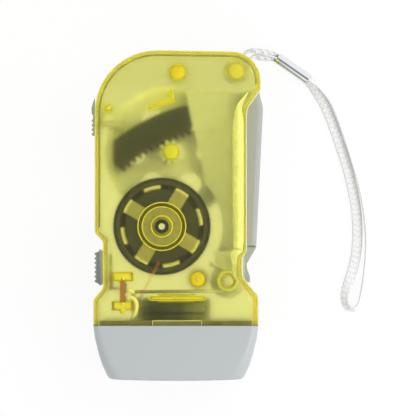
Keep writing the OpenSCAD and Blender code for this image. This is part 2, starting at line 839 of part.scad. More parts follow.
// Sector gear with internal teeth round the lever's pivot; its tail lies in the lever's plate
sector_right = 12.6;
sector_left = 45.8;
sector_left_x = 19.3;
notch_r = 53.9;
notch_from = 31.3;
notch_to = 37.4;
tooth_step = 360 / sector_teeth;
sector_count = floor((sector_left - sector_right) / tooth_step);
function gap_half(r) = half_tooth(sector_teeth, sector_module, r) + play_angle(r);
function sector_radius(share) =
    sector_pitch_r + sector_module * (root_share - share * (tip_share + root_share));
function sector_tooth(mid) =
    let (
        half = tooth_step / 2,
        n = len(gear_flank_shares),
        radii = [for (s = gear_flank_shares) sector_radius(s)]
    )
    concat(
        [for (r = radii) polar(r, mid + half - gap_half(r))],
        [for (k = [n - 1:-1:0]) let (r = radii[k]) polar(r, mid - half + gap_half(r))]
    );
first_tooth = floor((drive_lean - sector_right) / tooth_step - 0.5) + 0.5;
module sector_outline() {
    intersection() {
        translate(pivot)
            polygon(concat(
                [for (a = [sector_right:(sector_left - sector_right) / 16:sector_left])
                    polar(sector_r, 90 + a)],
                [for (i = [sector_count - 1:-1:0])
                    each sector_tooth(90 + drive_lean + (i - first_tooth) * tooth_step)]
            ));
        translate([-sector_left_x, 0])
            square([sector_left_x + pivot_x, sector_r]);
    }
}
module tail_outline(grow) {
    out_r = sector_r - tail_rim_w + grow;
    in_r = sector_pitch_r + tail_root_w - grow;
    first = 90 + sector_right + tail_lap;
    last = 90 + sector_right - sector_tail - grow;
    translate(pivot)
        polygon([polar(out_r, first), polar(out_r, last), polar(in_r, last), polar(in_r, first)]);
}
module sector_gear() {
    color(black_plastic)
        difference() {
            union() {
                plate_at(plate_z, plate_t)
                    difference() {
                        sector_outline();
                        plate_outline();
                    }
                plate_at(plate_z, tail_h)
                    tail_outline(0);
            }
            plate_at(plate_z - over, plate_t / 2 + over)
                translate(pivot)
                    polygon(concat(
                        [for (a = [notch_from:(notch_to - notch_from) / 4:notch_to])
                            polar(notch_r, 90 + a)],
                        [polar(sector_r + over, 90 + notch_to), polar(sector_r + over, 90 + notch_from)]
                    ));
            for (s = studs)
                post(s, 0, thick, stud_r + run_play);
        }
}
module pivot_pin() {
    color(steel)
        post(pivot, wall + slide_play, pivot_end_z, pivot_d / 2);
}

// Return spring: long leg on the rest rib, close turns, short leg hooked behind the lever
spring_r = 3.1;
short_end = [-5.1, 5.1];
short_bend = [[0.25, -0.1, -0.25], [1, -0.36, 0]];
short_drop = 5;
long_end_x = -12.6;
long_end_y = 24;
spring_steps = 12;
spring_count = floor(spring_turn / 360 * spring_steps);
short_place = [pivot.x + short_end.x, pivot.y + short_end.y, spring_z];
spring_path = concat(
    [short_place - [0, 0, short_drop], short_place - [0, 0, return_wire]],
    [for (b = short_bend) short_place + return_wire * b],
    [for (k = [0:spring_count]) let (a = spring_turn * k / spring_count)
        [each pivot + polar(spring_r, spring_leg_lean - a), spring_z + return_pitch * a / 360]],
    [[long_end_x, -long_end_y, spring_leg_z]]
);
module return_spring() {
    color(spring_steel)
        tube(spring_path, return_wire, 6);
}
echo(return_spring_gap = wire_gap(spring_path, return_wire, 8));

// Drive pinion and drive gear, joined by a face ratchet that only drives when the lever is squeezed
ratchet_teeth = 6;
ratchet_r = 3.6;
pinion_flange_r = 4;
ratchet_in = 1.7;
ratchet_low = 0.05;
ratchet_gap_angle = 1;
// Ramps on a face at height z. They rise by first and last at their two ends, from roots below the face.
module ratchet(z, first, last, root) {
    step = 360 / ratchet_teeth;
    end = step - ratchet_gap_angle;
    foot = [for (c = [[ratchet_in, 0], [ratchet_r, 0], [ratchet_r, end], [ratchet_in, end]])
        polar(c.x, c.y)];
    crest = [first, first, last, last];
    rooted = [for (p = foot) [p.x, p.y, root]];
    ramp = [for (k = [0:3]) [foot[k].x, foot[k].y, crest[k]]];
    low = first > 0 ? rooted : ramp;
    high = first > 0 ? ramp : rooted;
    for (i = [0:ratchet_teeth - 1])
        translate([0, 0, z])
            rotate(i * step)
                polyhedron(
                    points = concat(low, high),
                    faces = [[0, 1, 2], [0, 2, 3], [4, 6, 5], [4, 7, 6], [0, 4, 5], [0, 5, 1],
                        [1, 5, 6], [1, 6, 2], [2, 6, 7], [2, 7, 3], [3, 7, 4], [3, 4, 0]]
                );
}
gear_hub_r = 4.4;
gear_web_t = 1.6;
gear_rim_w = 2.2;
gear_hole_r = 3.6;
gear_hole_count = 6;
module drive_pinion() {
    color(natural_nylon)
        translate(drive_axis)
            difference() {
                union() {
                    plate_at(pinion_z, pinion_h)
                        polygon(gear_outline(drive_pinion_teeth, sector_module, drive_dir,
                            pinion_flank_shares));
                    translate([0, 0, pinion_z - ratchet_low])
                        cylinder(h = slide_play + ratchet_low, r = pinion_flange_r);
                    ratchet(pinion_z, -ratchet_low, -ratchet_h, slide_play / 2);
                }
                translate([0, 0, -over])
                    cylinder(h = thick, r = axle_d / 2 + run_play);
            }
}
module drive_gear() {
    web_r = drive_gear_pitch_r - gear_rim_w;
    color(natural_nylon)
        translate(drive_axis)
            difference() {
                union() {
                    plate_at(gear_z, gear_t)
                        difference() {
                            polygon(gear_outline(drive_gear_teeth, gear_module, rotor_dir,
                                gear_flank_shares));
                            circle(web_r);
                        }
                    translate([0, 0, gear_z + (gear_t - gear_web_t) / 2])
                        cylinder(h = gear_web_t, r = web_r + over);
                    translate([0, 0, gear_z])
                        cylinder(h = gear_t, r = gear_hub_r);
                    ratchet(gear_z + gear_t, ratchet_h, ratchet_low, -slide_play);
                }
                translate([0, 0, -over])
                    cylinder(h = thick, r = axle_d / 2 + run_play);
                for (i = [0:gear_hole_count - 1])
                    rotate(360 / gear_hole_count * i)
                        translate([(gear_hub_r + web_r) / 2, 0, 0])
                            cylinder(h = thick, r = gear_hole_r);
            }
}
clutch_r = 1.75;
clutch_steps = 12;
clutch_len = axle_post_z - pinion_top - 2 * slide_play;
clutch_path = [for (k = [0:clutch_turns * clutch_steps]) let (a = 360 * k / clutch_steps)
    [each drive_axis + polar(clutch_r, a),
        pinion_top + slide_play + clutch_wire / 2
            + (clutch_len - clutch_wire) * k / clutch_turns / clutch_steps]];
module clutch_spring() {
    color(steel)
        tube(clutch_path, clutch_wire, 6);
}
echo(clutch_spring_gap = wire_gap(clutch_path, clutch_wire, 6));
module drive_axle() {
    color(steel)
        post(drive_axis, wall + slide_play, axle_end_z, axle_d / 2);
}

// Rotor: a steel cup with a magnet ring turns round the fixed poles
bush_h = 3;
rear_bush_z = 3;
rotor_pinion_h = 3.6;
shaft_end_z = bush_end_z - slide_play;
front_bush_z = front_plate_z + pole_t + clear;
magnet_r_out = flywheel_r - rim_t;
magnet_r_in = magnet_r_out - magnet_t;
cup_hub_r = 2.6;
cup_hub_h = 0.7;
module flywheel() {
    color(magnet_dark)
        translate(rotor_axis)
            difference() {
                union() {
                    translate([0, 0, flywheel_z])
                        cylinder(h = flywheel_h, r = flywheel_r);
                    translate([0, 0, flywheel_z - cup_hub_h])
                        cylinder(h = cup_hub_h + over, r = cup_hub_r);
                }
                translate([0, 0, flywheel_z + floor_t])
                    cylinder(h = thick, r = magnet_r_out);
                cylinder(h = thick, r = shaft_d / 2);
            }
}
module magnet_ring() {
    color(magnet_dark)
        ring_wall(rotor_axis, flywheel_z + floor_t, flywheel_top, magnet_r_out, magnet_r_in);
}
module rotor_shaft() {
    color(steel)
        post(rotor_axis, rear_bush_z, shaft_end_z, shaft_d / 2);
}
module rotor_pinion() {
    top = flywheel_z - cup_hub_h;
    color(natural_nylon)
        translate(rotor_axis)
            difference() {
                union() {
                    plate_at(top - rotor_pinion_h, rotor_pinion_h)
                        polygon(gear_outline(rotor_pinion_teeth, gear_module,
                            rotor_dir + 180 + 180 / rotor_pinion_teeth, pinion_flank_shares));
                    translate([0, 0, rear_bush_z + bush_h + slide_play])
                        cylinder(h = top - rear_bush_z - bush_h - slide_play,
                            r = rotor_pinion_pitch_r - gear_module * root_share);
                }
                cylinder(h = thick, r = shaft_d / 2);
            }
}
module front_bush() {
    color(bronze)
        ring_wall(rotor_axis, front_bush_z, bush_end_z, bush_r, shaft_d / 2 + run_play);
}
module rear_bush() {
    color(bronze)
        ring_wall(rotor_axis, rear_bush_z, rear_bush_z + bush_h, bush_r, shaft_d / 2 + run_play);
}

// Fixed poles: two claw plates, a bobbin and its winding
pole_count = 4;
pole_lean = 59;
plate_disc_r = 7.2;
core_r = 3.3;
core_in = 2.2;
arm_r = 12.7;
claw_t = 0.7;
finger_t = 1.1;
claw_len = 8;
finger_top = 0.3;
module front_arms() {
    for (i = [0:pole_count - 1])
        rotate(pole_lean + 360 / pole_count * i)
            intersection() {
                translate([0, -arm_w / 2])
                    square([arm_r, arm_w]);
                circle(arm_r);
            }
}
module claw_strip(w, t, h, z, lean) {
    for (i = [0:pole_count - 1])
        plate_at(z, h)
            rotate(lean + 360 / pole_count * i)
                intersection() {
                    difference() {
                        circle(arm_r);
                        circle(arm_r - t);
                    }
                    translate([0, -w / 2])
                        square([2 * arm_r, w]);
                }
}
module stator_front_plate() {
    color(zinc_plate)
        translate(rotor_axis) {
            plate_at(front_plate_z, pole_t)
                difference() {
                    union() {
                        circle(plate_disc_r);
                        front_arms();
                    }
                    circle(core_r + run_play);
                }
            claw_strip(arm_w, claw_t, claw_len + over, front_plate_z - claw_len, pole_lean);
        }
}
module stator_rear_plate() {
    half = 180 / pole_count;
    color(zinc_plate)
        translate(rotor_axis) {
            plate_at(rear_plate_z, pole_t)
                difference() {
                    union() {
                        circle(plate_disc_r);
                        for (i = [0:pole_count - 1])
                            rotate(pole_lean + half + 360 / pole_count * i)
                                intersection() {
                                    translate([0, -finger_w / 2])
                                        square([arm_r, finger_w]);
                                    circle(arm_r);
                                }
                    }
                    circle(core_in);
                }
            claw_strip(finger_w, finger_t, front_plate_z - rear_plate_z + finger_top, rear_plate_z,
                pole_lean + half);
            plate_at(rear_plate_z, front_plate_z + pole_t - rear_plate_z)
                difference() {
                    circle(core_r);
                    circle(core_in);
                }
        }
}
flange_r = 11.3;
flange_t = 0.8;
spool_t = 0.7;
bobbin_z = rear_plate_z + pole_t;
bobbin_h = front_plate_z - bobbin_z;
module coil_bobbin() {
    color(black_plastic)
        translate(rotor_axis)
            difference() {
                union() {
                    for (z = [bobbin_z, front_plate_z - flange_t])
                        translate([0, 0, z])
                            cylinder(h = flange_t, r = flange_r);
                    translate([0, 0, bobbin_z])
                        cylinder(h = bobbin_h, r = core_r + spool_t + run_play);
                }
                cylinder(h = thick, r = core_r + run_play);
            }
}
module coil_winding() {
    color(copper)
        ring_wall(rotor_axis, bobbin_z + flange_t, front_plate_z - flange_t, flange_r - pole_t,
            core_r + spool_t + run_play);
}

// Leads of the winding, over the flywheel's rim to the switch board
lead_d = 0.24;
lead_step = 0.55;
lead_route = [
    [-5.5, -14.6, 25.5], [-5.8, -15.4, 25.8], [-6.6, -17, 26.3], [-8.4, -20.2, 26.6],
    [-10.1, -23.4, 26.7], [-11.2, -25.4, 26.5], [-13, -26.2, 26], [-15.5, -26.4, 25.6]
];
module coil_leads() {
    color(copper)
        for (i = [0, 1])
            translate([i * lead_step, 0, 0])
                tube(lead_route, lead_d, 6);
}

// Light switch on the thumb side
switch_x = -left_x + recess_depth;
switch_y0 = -22.2;
switch_y1 = -10.9;
switch_half_z = 6;
plate_thin = 1;
pad_rise = 1.5;
stem_len = 4;
stem_w = 5;
stem_y = -16.6;
inner_plate_t = 1;
rib_h = 0.5;
module thumb_ribs(x, y_from, y_to, half_z) {
    for (y = [y_from:rib_pitch:y_to])
        translate([x, y, mid_z - half_z])
            cylinder(h = 2 * half_z, r = rib_h, $fn = 8);
}
module switch_slot() {
    block(-left_x - over, switch_x + wall + over,
        stem_y - stem_len / 2 - clear, stem_y + stem_len / 2 + switch_travel + clear,
        mid_z - stem_w / 2 - slide_play, mid_z + stem_w / 2 + slide_play);
}
module switch_slider() {
    x0 = switch_x - slide_play - plate_thin;
    x1 = switch_x - slide_play;
    in_x = switch_x + wall + slide_play;
    color(slider_grey) {
        plate_at(mid_z - switch_half_z, 2 * switch_half_z)
            polygon([[x1, switch_y0 + plate_thin / 2], [x1, switch_y1 - plate_thin / 2],
                [x0, switch_y1], [x0, switch_y0]]);
        plate_at(mid_z - switch_half_z + plate_thin, 2 * (switch_half_z - plate_thin))
            polygon([[x0, switch_y0 + rib_h], [x0, switch_y1 - rib_h],
                [x0 - pad_rise + rib_h, switch_y1 - 2 * rib_h],
                [x0 - pad_rise + rib_h, switch_y0 + 2 * rib_h]]);
        thumb_ribs(x0 - pad_rise + rib_h, switch_y0 + 3 * rib_h, switch_y1 - 2 * rib_h,
            switch_half_z - plate_thin);
        block(x1 - plate_thin / 2, in_x + inner_plate_t / 2,
            stem_y - stem_len / 2, stem_y + stem_len / 2, mid_z - stem_w / 2, mid_z + stem_w / 2);
        block(in_x, in_x + inner_plate_t, board_y1 - stem_len, stem_y + stem_len,
            mid_z - stem_w / 2 - 2 * clear, mid_z + stem_w / 2 + 2 * clear);
    }
}
leaf_t = 0.3;
leaf_w = 3;
module switch_contact() {
    in_x = switch_x + wall + slide_play + inner_plate_t;
    end_x = board_x - slide_play;
    low = board_y1 - stem_len;
    color(copper)
        plate_at(mid_z - leaf_w / 2, leaf_w)
            polygon([[in_x, low + leaf_t], [in_x, low + 3 * leaf_t + leaf_w],
                [in_x + leaf_t, low + 3 * leaf_t + leaf_w], [in_x + leaf_t, low + 4 * leaf_t],
                [end_x, low + 2 * leaf_t], [end_x, low],
                [end_x - leaf_t, low], [end_x - leaf_t, low + leaf_t]]);
}
module switch_board() {
    color(board_brown)
        block(board_x, board_x + board_t, board_y0, board_y1, board_z0, board_z1);
}
wire_d = 1;
front_wire = [
    [-15.1, -26.2, 24.2], [-14.3, -25.7, 24.4], [-13.2, -25.7, 24.4], [-12.4, -26.6, 24.2],
    [-12.2, -28.2, 23.8], [-12.3, -30, 23.2], [-13, -31.8, 22.4], [-13.2, -33.4, 21],
    [-13.2, -35, 19.6], [-13.2, -36.4, 19]
];
rear_wire = [
    [-15.1, -23.9, 22.4], [-14.4, -23.7, 22.2], [-13.6, -24.2, 21.4], [-13.1, -25.6, 20],
    [-13, -27.4, 18.6], [-13, -29.4, 17.6], [-13, -31.4, 17.2], [-13, -33.2, 17],
    [-13, -35, 17], [-13, -36.4, 17]
];
module led_wires() {
    color(white_braid)
        for (route = [front_wire, rear_wire])
            tube(route, wire_d, 6);
}

// Lever lock on the thumb side, near the top
lock_y0 = 24.3;
lock_y1 = 35.8;
lock_half_z = 5.5;
lock_rise = 0.9;
lock_stem_y0 = 27;
lock_stem_y1 = 31;
lock_stem_half = 1.6;
lock_flange_t = 0.8;
lock_flange_y = 0.5;
tongue_end_x = 15.8;
hook_w = 1.4;
hook_y = 25.9;
tongue_y0 = 27.1;
tongue_y1 = 29;
tongue_z0 = plate_z + slide_play;
tongue_t = 1.4;
module lock_slot() {
    block(-left_x - over, -left_x + wall + over,
        lock_stem_y0 - lock_travel - slide_play, lock_stem_y1 + slide_play,
        mid_z - lock_stem_half - slide_play, mid_z + lock_stem_half + slide_play);
}
module lock_slider() {
    x1 = -left_x - slide_play;
    x0 = x1 - lock_rise;
    in_x = -left_x + wall + slide_play;
    color(slider_grey) {
        plate_at(mid_z - lock_half_z, 2 * lock_half_z)
            polygon([[x1, lock_y0], [x1, lock_y1],
                [x0 + rib_h, lock_y1 - lock_rise], [x0, lock_y1 - 3 * lock_rise],
                [x0, lock_y1 - 5 * lock_rise], [x0 + rib_h, lock_y1 - 6 * lock_rise],
                [x0 + rib_h, lock_y0 + rib_h]]);
        thumb_ribs(x0 + rib_h, lock_y0 + rib_h, lock_y1 - 7 * lock_rise, lock_half_z);
        block(x1 - rib_h, in_x + lock_flange_t / 2, lock_stem_y0, lock_stem_y1,
            mid_z - lock_stem_half, mid_z + lock_stem_half);
        block(in_x, in_x + lock_flange_t,
            lock_stem_y0 - lock_flange_y, lock_stem_y1 + lock_flange_y,
            mid_z - lock_stem_half - 2 * clear, mid_z + lock_stem_half + 2 * clear);
        block(in_x, -tongue_end_x, tongue_y0, tongue_y1, tongue_z0, tongue_z0 + tongue_t);
        block(-tongue_end_x - hook_w, -tongue_end_x, hook_y, tongue_y1,
            tongue_z0, tongue_z0 + tongue_t);
    }
}
module case_screws() {
    color(steel)
        for (s = screws) {
            difference() {
                post(s, screw_head_z, screw_head_z + screw_head_h, screw_head_r);
                for (a = [0, 90])
                    translate([s.x, s.y, screw_head_z])
                        rotate(a)
                            cube([screw_head_r * cross_share, screw_head_r / 4, screw_head_h],
                                center = true);
            }
            post(s, screw_head_z + screw_head_h / 2, screw_end_z, screw_thread_r);
        }
}

// Wrist strap: a braided cord round the strap post, a crimp sleeve and a loop of band
cord_route = [
    [32.4, 48.8, 1.9], [31.4, 49.5, 2], [30, 49.9, 2.8], [28.6, 49.7, 4.8], [27.2, 49.6, 7.6],
    [25.6, 49.8, 10.8], [24, 50.1, 13.2], [22.4, 49.8, 14.6], [20.9, 49.1, 15.2], [19.4, 47.9, 15.5],
    [17.4, 47.6, 15.6], [15.8, 46.4, 15.6], [15.1, 44.5, 15.5], [15.6, 42.5, 15.3], [17, 41.2, 15.1],
    [18.9, 40.8, 15], [20.8, 41.6, 14.9], [21.9, 43.1, 14.8], [22.2, 45, 14.7], [22.4, 46.8, 14.6],
    [23.1, 48.1, 14.2], [24.1, 48.8, 12.8], [25.4, 48.5, 10.2], [26.9, 48.1, 7.2], [28.1, 48, 4.4],
    [29.4, 48.1, 2.6], [30.6, 48.2, 1.9], [31.6, 47.6, 1.9]
];
crimp_start = [31.5, 48.7];
crimp_lean = -34.8;
crimp_r = 1.8;
crimp_bore = 1.5;
crimp_z = 1.9;
band_route = [
    [40.1, 41.8, 1.8], [41.2, 41, 1.6], [42.8, 39.4, 1.1], [44.6, 36.8, 0.8], [46.6, 33.4, 0.8],
    [48.8, 28.2, 0.8], [50.8, 22.4, 0.8], [52.6, 17, 0.8], [54.2, 11.2, 0.8], [55.6, 4.8, 0.8],
    [56.4, -1.4, 0.8], [56.5, -7.6, 0.8], [55.9, -13.6, 0.8], [54.5, -19, 0.8], [53, -23.8, 0.8],
    [52.7, -27, 0.8], [53.8, -29.2, 0.8], [55.8, -29.6, 0.8], [57.2, -28, 0.8], [57.8, -24.6, 0.8],
    [58.7, -18.6, 0.8], [59.3, -11.6, 0.8], [59.2, -4.8, 0.8], [58.3, 2.8, 0.8], [56.8, 9.8, 0.8],
    [55, 16, 0.8], [53, 22.4, 0.8], [50.8, 28.8, 0.8], [48.8, 33.6, 0.8], [46.6, 37.4, 0.8],
    [44.4, 40.2, 1.1], [42.6, 41.8, 1.6], [41, 43, 1.8]
];
module strap_cord() {
    color(white_braid)
        tube(cord_route, cord_d, 8);
}
module strap_crimp() {
    color(chrome)
        translate([crimp_start.x, crimp_start.y, crimp_z])
            rotate([0, 90, crimp_lean])
                rotate_extrude()
                    polygon([[crimp_bore, 0], [crimp_r, 0],
                        [crimp_r, crimp_len], [crimp_bore, crimp_len]]);
}
module strap_webbing() {
    color(white_braid)
        tube(band_route, band_d, 8);
}

front_cover();
rear_cover();
head_bezel();
lens();
reflector();
leds();
led_board();
button_cells();
cell_cradle();
cell_contacts();
lever();
sector_gear();
pivot_pin();
return_spring();
drive_pinion();
drive_gear();
clutch_spring();
drive_axle();
flywheel();
magnet_ring();
rotor_shaft();
rotor_pinion();
front_bush();
rear_bush();
stator_front_plate();
stator_rear_plate();
coil_bobbin();
coil_winding();
coil_leads();
switch_slider();
switch_contact();
switch_board();
led_wires();
lock_slider();
case_screws();
strap_cord();
strap_crimp();
strap_webbing();
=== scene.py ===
"""Looks of the squeeze-lever dynamo flashlight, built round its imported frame."""

import math

import bpy
import numpy as np
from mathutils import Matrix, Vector


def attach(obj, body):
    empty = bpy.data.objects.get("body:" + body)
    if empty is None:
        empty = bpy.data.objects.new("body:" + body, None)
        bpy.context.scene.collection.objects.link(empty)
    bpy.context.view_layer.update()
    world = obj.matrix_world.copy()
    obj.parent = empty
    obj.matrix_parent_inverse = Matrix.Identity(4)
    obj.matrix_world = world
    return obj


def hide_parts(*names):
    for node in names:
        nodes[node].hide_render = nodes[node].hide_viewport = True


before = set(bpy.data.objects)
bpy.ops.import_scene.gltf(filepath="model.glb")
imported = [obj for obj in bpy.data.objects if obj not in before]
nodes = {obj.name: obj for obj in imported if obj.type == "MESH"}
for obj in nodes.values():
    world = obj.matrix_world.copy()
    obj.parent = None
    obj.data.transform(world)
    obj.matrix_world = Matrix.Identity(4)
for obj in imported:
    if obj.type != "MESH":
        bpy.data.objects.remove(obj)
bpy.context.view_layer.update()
scene = bpy.context.scene
scene.view_settings.view_transform = "Standard"
# The casing is several walls of frosted plastic deep
scene.cycles.max_bounces = 24
scene.cycles.transmission_bounces = 20
scene.cycles.transparent_max_bounces = 40
scene.cycles.sample_clamp_indirect = 2.0

# One millimetre in the frame's metres
MM = 0.001

# ------------------------------------------------------------------ camera
# The photograph looks straight down on the casing, from so far away that heights don't shift
CAMERA_PLACE = (9.936, 1.94, 3015.0)
LENS_MM = 836.1
SENSOR_MM = 36.0

camera = bpy.data.objects.new("camera", bpy.data.cameras.new("camera"))
camera.data.sensor_width = SENSOR_MM
camera.data.lens = LENS_MM
camera.data.clip_start = 0.01
camera.data.clip_end = 20
camera.location = [c * MM for c in CAMERA_PLACE]
scene.collection.objects.link(camera)
scene.camera = camera


# ------------------------------------------------------------------ shapes
CURVE_STEPS = 24


def lengths_along(points):
    return np.concatenate([[0], np.cumsum(np.linalg.norm(np.diff(points, axis=0), axis=1))])


def smooth_route(points, step):
    """Points about step apart, in millimetres, on a smooth line through the given ones."""
    p = np.array(points, float)
    p = np.vstack([2 * p[0] - p[1], p, 2 * p[-1] - p[-2]])
    fine = []
    for a, b, c, d in zip(p, p[1:], p[2:], p[3:]):
        for t in np.linspace(0, 1, CURVE_STEPS, endpoint=False):
            square, cube = 2 * a - 5 * b + 4 * c - d, 3 * b - a - 3 * c + d
            fine.append(0.5 * (2 * b + (c - a) * t + square * t**2 + cube * t**3))
    fine.append(p[-2])
    fine = np.array(fine)
    along = lengths_along(fine)
    count = max(2, int(round(along[-1] / step)) + 1)
    at = np.linspace(0, along[-1], count)
    return np.stack([np.interp(at, along, fine[:, k]) for k in range(3)], axis=1)


def unit(v):
    return v / np.maximum(np.linalg.norm(v, axis=-1, keepdims=True), 1e-12)


def frames_along(points):
    """Side and up at each point, square to the line and carried along it so that they don't twist."""
    tangents = unit(np.gradient(points, axis=0))
    side = np.cross([0, 0, 1], tangents[0])
    if np.linalg.norm(side) < 0.2:
        side = np.cross([1, 0, 0], tangents[0])
    sides = []
    for t in tangents:
        side = unit(side - t * np.dot(side, t))
        sides.append(side)
    sides = np.array(sides)
    return sides, np.cross(tangents, sides)


def level_frames(points, rolls):
    """Side and up at each point with the side level, then rolled by an angle in degrees."""
    tangents = unit(np.gradient(points, axis=0))
    sides = unit(np.cross([0, 0, 1], tangents))
    ups = np.cross(tangents, sides)
    a = np.radians(rolls)[:, None]
    return np.cos(a) * sides + np.sin(a) * ups, np.cos(a) * ups - np.sin(a) * sides


def outwards_along(points):
    """Level direction at each point of a level line, to the left of its way."""
    way = unit(np.gradient(points, axis=0))
    return np.stack([-way[:, 1], way[:, 0], np.zeros(len(points))], axis=1)


def swept(rings):
    """Vertices and faces of a closed tube through rings with the same number of points."""
    n, m = len(rings), len(rings[0])
    faces = []
    for i in range(n - 1):
        for k in range(m):
            a, b = i * m + k, i * m + (k + 1) % m
            faces.append((a, b, b + m, a + m))
    faces.append(tuple(reversed(range(m))))
    faces.append(tuple((n - 1) * m + k for k in range(m)))
    return np.concatenate(rings), faces


def tube(points, radius, sides):
    """A closed tube along a line; the radius is one number or one for each point."""
    side, up = frames_along(points)
    radii = np.broadcast_to(radius, len(points))
    turn = 2 * np.pi * np.arange(sides) / sides
    return swept([
        points[i] + radii[i] * (np.cos(turn)[:, None] * side[i] + np.sin(turn)[:, None] * up[i])
        for i in range(len(points))
    ])


def lathed(profile, centre, steps=96):
    """Vertices and faces of a closed ring whose (radius, height) profile turns round a point's vertical."""
    turn = 2 * np.pi * np.arange(steps) / steps
    m = len(profile)
    verts = [
        (centre[0] + r * math.cos(a), centre[1] + r * math.sin(a), z) for a in turn for r, z in profile
    ]
    faces = []
    for i in range(steps):
        j = (i + 1) % steps
        for k in range(m):
            n = (k + 1) % m
            faces.append((i * m + k, j * m + k, j * m + n, i * m + n))
    return np.array(verts), faces


def piece(name, shapes, body, slot, material, smooth=True, others=(), kinds=None):
    """One new mesh from (vertices in millimetres, faces) shapes, riding on a body.

    kinds gives each face the number of its material, 0 for the first and 1 on for the others."""
    verts, faces, start = [], [], 0
    for v, f in shapes:
        verts.append(v)
        faces += [tuple(i + start for i in face) for face in f]
        start += len(v)
    mesh = bpy.data.meshes.new(name)
    mesh.from_pydata((np.concatenate(verts) * MM).tolist(), [], faces)
    mesh.validate()
    mesh.update()
    if smooth:
        mesh.shade_smooth()
        for polygon in mesh.polygons:
            polygon.use_smooth = len(polygon.vertices) <= 4
    made = bpy.data.objects.new(name, mesh)
    scene.collection.objects.link(made)
    for m in (material, *others):
        made.data.materials.append(m)
    if kinds is not None:
        made.data.polygons.foreach_set("material_index", np.array(kinds, dtype=np.int32))
    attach(made, body)
    return made


def drop(centre, axis, radius, height, rows=6, steps=16):
    """A rounded drop that stands on a face, its height along the axis."""
    axis = unit(np.array(axis, float))
    side = unit(np.cross(axis, [0.3, 0.5, 0.8]))
    up = np.cross(axis, side)
    turn = 2 * np.pi * np.arange(steps) / steps
    rings = []
    for i in range(rows):
        a = math.pi / 2 * i / rows
        rings.append(
            np.array(centre)
            + height * math.sin(a) * axis
            + radius * math.cos(a) * (np.cos(turn)[:, None] * side + np.sin(turn)[:, None] * up)
        )
    return swept(rings)


# ------------------------------------------------------------------ materials
class Nodes:
    """Short way to build a procedural material, or the world."""

    def __init__(self, name, world=False):
        self.owner = (bpy.data.worlds if world else bpy.data.materials).new(name)
        self.owner.use_nodes = True
        self.tree = self.owner.node_tree
        self.tree.nodes.clear()
        self.out = self.add("ShaderNodeOutputWorld" if world else "ShaderNodeOutputMaterial")
        self.coords = self.add("ShaderNodeTexCoord").outputs
        self.where = self.coords["Object"]

    def add(self, kind, **settings):
        node = self.tree.nodes.new(kind)
        for key, value in settings.items():
            setattr(node, key, value)
        return node

    def put(self, value, socket):
        """Link another node's socket to this one, or set a plain value on it."""
        if isinstance(value, bpy.types.NodeSocket):
            self.tree.links.new(value, socket)
        else:
            socket.default_value = value

    def shader(self, color, rough, metal=0.0, **sockets):
        node = self.add("ShaderNodeBsdfPrincipled")
        node.inputs["Base Color"].default_value = (*linear(color), 1)
        node.inputs["Roughness"].default_value = rough
        node.inputs["Metallic"].default_value = metal
        for key, value in sockets.items():
            node.inputs[key.replace("_", " ")].default_value = value
        return node

    def plain(self, kind, color, strength=None):
        """A simple shader in a scene-linear colour."""
        node = self.add(kind)
        node.inputs["Color"].default_value = (*color, 1)
        if strength is not None:
            node.inputs["Strength"].default_value = strength
        return node.outputs[0]

    def split(self, vector):
        node = self.add("ShaderNodeSeparateXYZ")
        self.put(vector, node.inputs[0])
        return node.outputs

    def stretched(self, scale):
        node = self.add("ShaderNodeMapping")
        node.inputs["Scale"].default_value = scale
        self.put(self.where, node.inputs["Vector"])
        return node.outputs["Vector"]

    def noise(self, scale, detail=3.0, where=None, rough=0.5):
        node = self.add("ShaderNodeTexNoise")
        node.inputs["Scale"].default_value = scale
        node.inputs["Detail"].default_value = detail
        node.inputs["Roughness"].default_value = rough
        self.put(where or self.where, node.inputs["Vector"])
        return node.outputs["Fac"]

    def ranged(self, value, low, high, from_low=0.3, from_high=0.7):
        """Values between from_low and from_high spread from low to high; the usual ones suit a noise."""
        node = self.add("ShaderNodeMapRange")
        numbers = {"From Min": from_low, "From Max": from_high, "To Min": low, "To Max": high}
        for key, number in numbers.items():
            node.inputs[key].default_value = number
        self.put(value, node.inputs["Value"])
        return node.outputs["Result"]

    def math(self, operation, *values):
        node = self.add("ShaderNodeMath", operation=operation)
        for value, socket in zip(values, node.inputs):
            self.put(value, socket)
        return node.outputs[0]

    def mixed_color(self, share, a, b):
        node = self.add("ShaderNodeMix", data_type="RGBA")
        self.put(share, node.inputs["Factor"])
        for key, value in (("A", a), ("B", b)):
            socket = [s for s in node.inputs if s.name == key and s.type == "RGBA"][0]
            self.put(value if isinstance(value, bpy.types.NodeSocket) else (*linear(value), 1), socket)
        return [s for s in node.outputs if s.type == "RGBA"][0]

    def bump(self, height, distance, strength=1.0, after=None):
        node = self.add("ShaderNodeBump")
        node.inputs["Strength"].default_value = strength
        node.inputs["Distance"].default_value = distance
        self.put(height, node.inputs["Height"])
        if after:
            self.put(after, node.inputs["Normal"])
        return node.outputs["Normal"]

    def mix(self, share, a, b):
        node = self.add("ShaderNodeMixShader")
        for value, socket in zip((share, a, b), node.inputs):
            self.put(value, socket)
        return node.outputs[0]

    def in_view(self):
        """1 for a ray from the camera, also by way of metal or glass, and 0 for other light."""
        ray = self.add("ShaderNodeLightPath").outputs
        seen = self.math("MAXIMUM", ray["Is Camera Ray"], ray["Is Glossy Ray"])
        return self.math("MAXIMUM", seen, ray["Is Transmission Ray"])

    def done(self, surface, volume=None):
        self.put(surface, self.out.inputs["Surface"])
        if volume:
            self.put(volume, self.out.inputs["Volume"])
        return self.owner


def linear(color):
    """Scene-linear values of a colour given as it is seen, each from 0 to 1."""
    return [c / 12.92 if c <= 0.04045 else ((c + 0.055) / 1.055) ** 2.4 for c in color]


def darker(color, share):
    return [c * share for c in color]


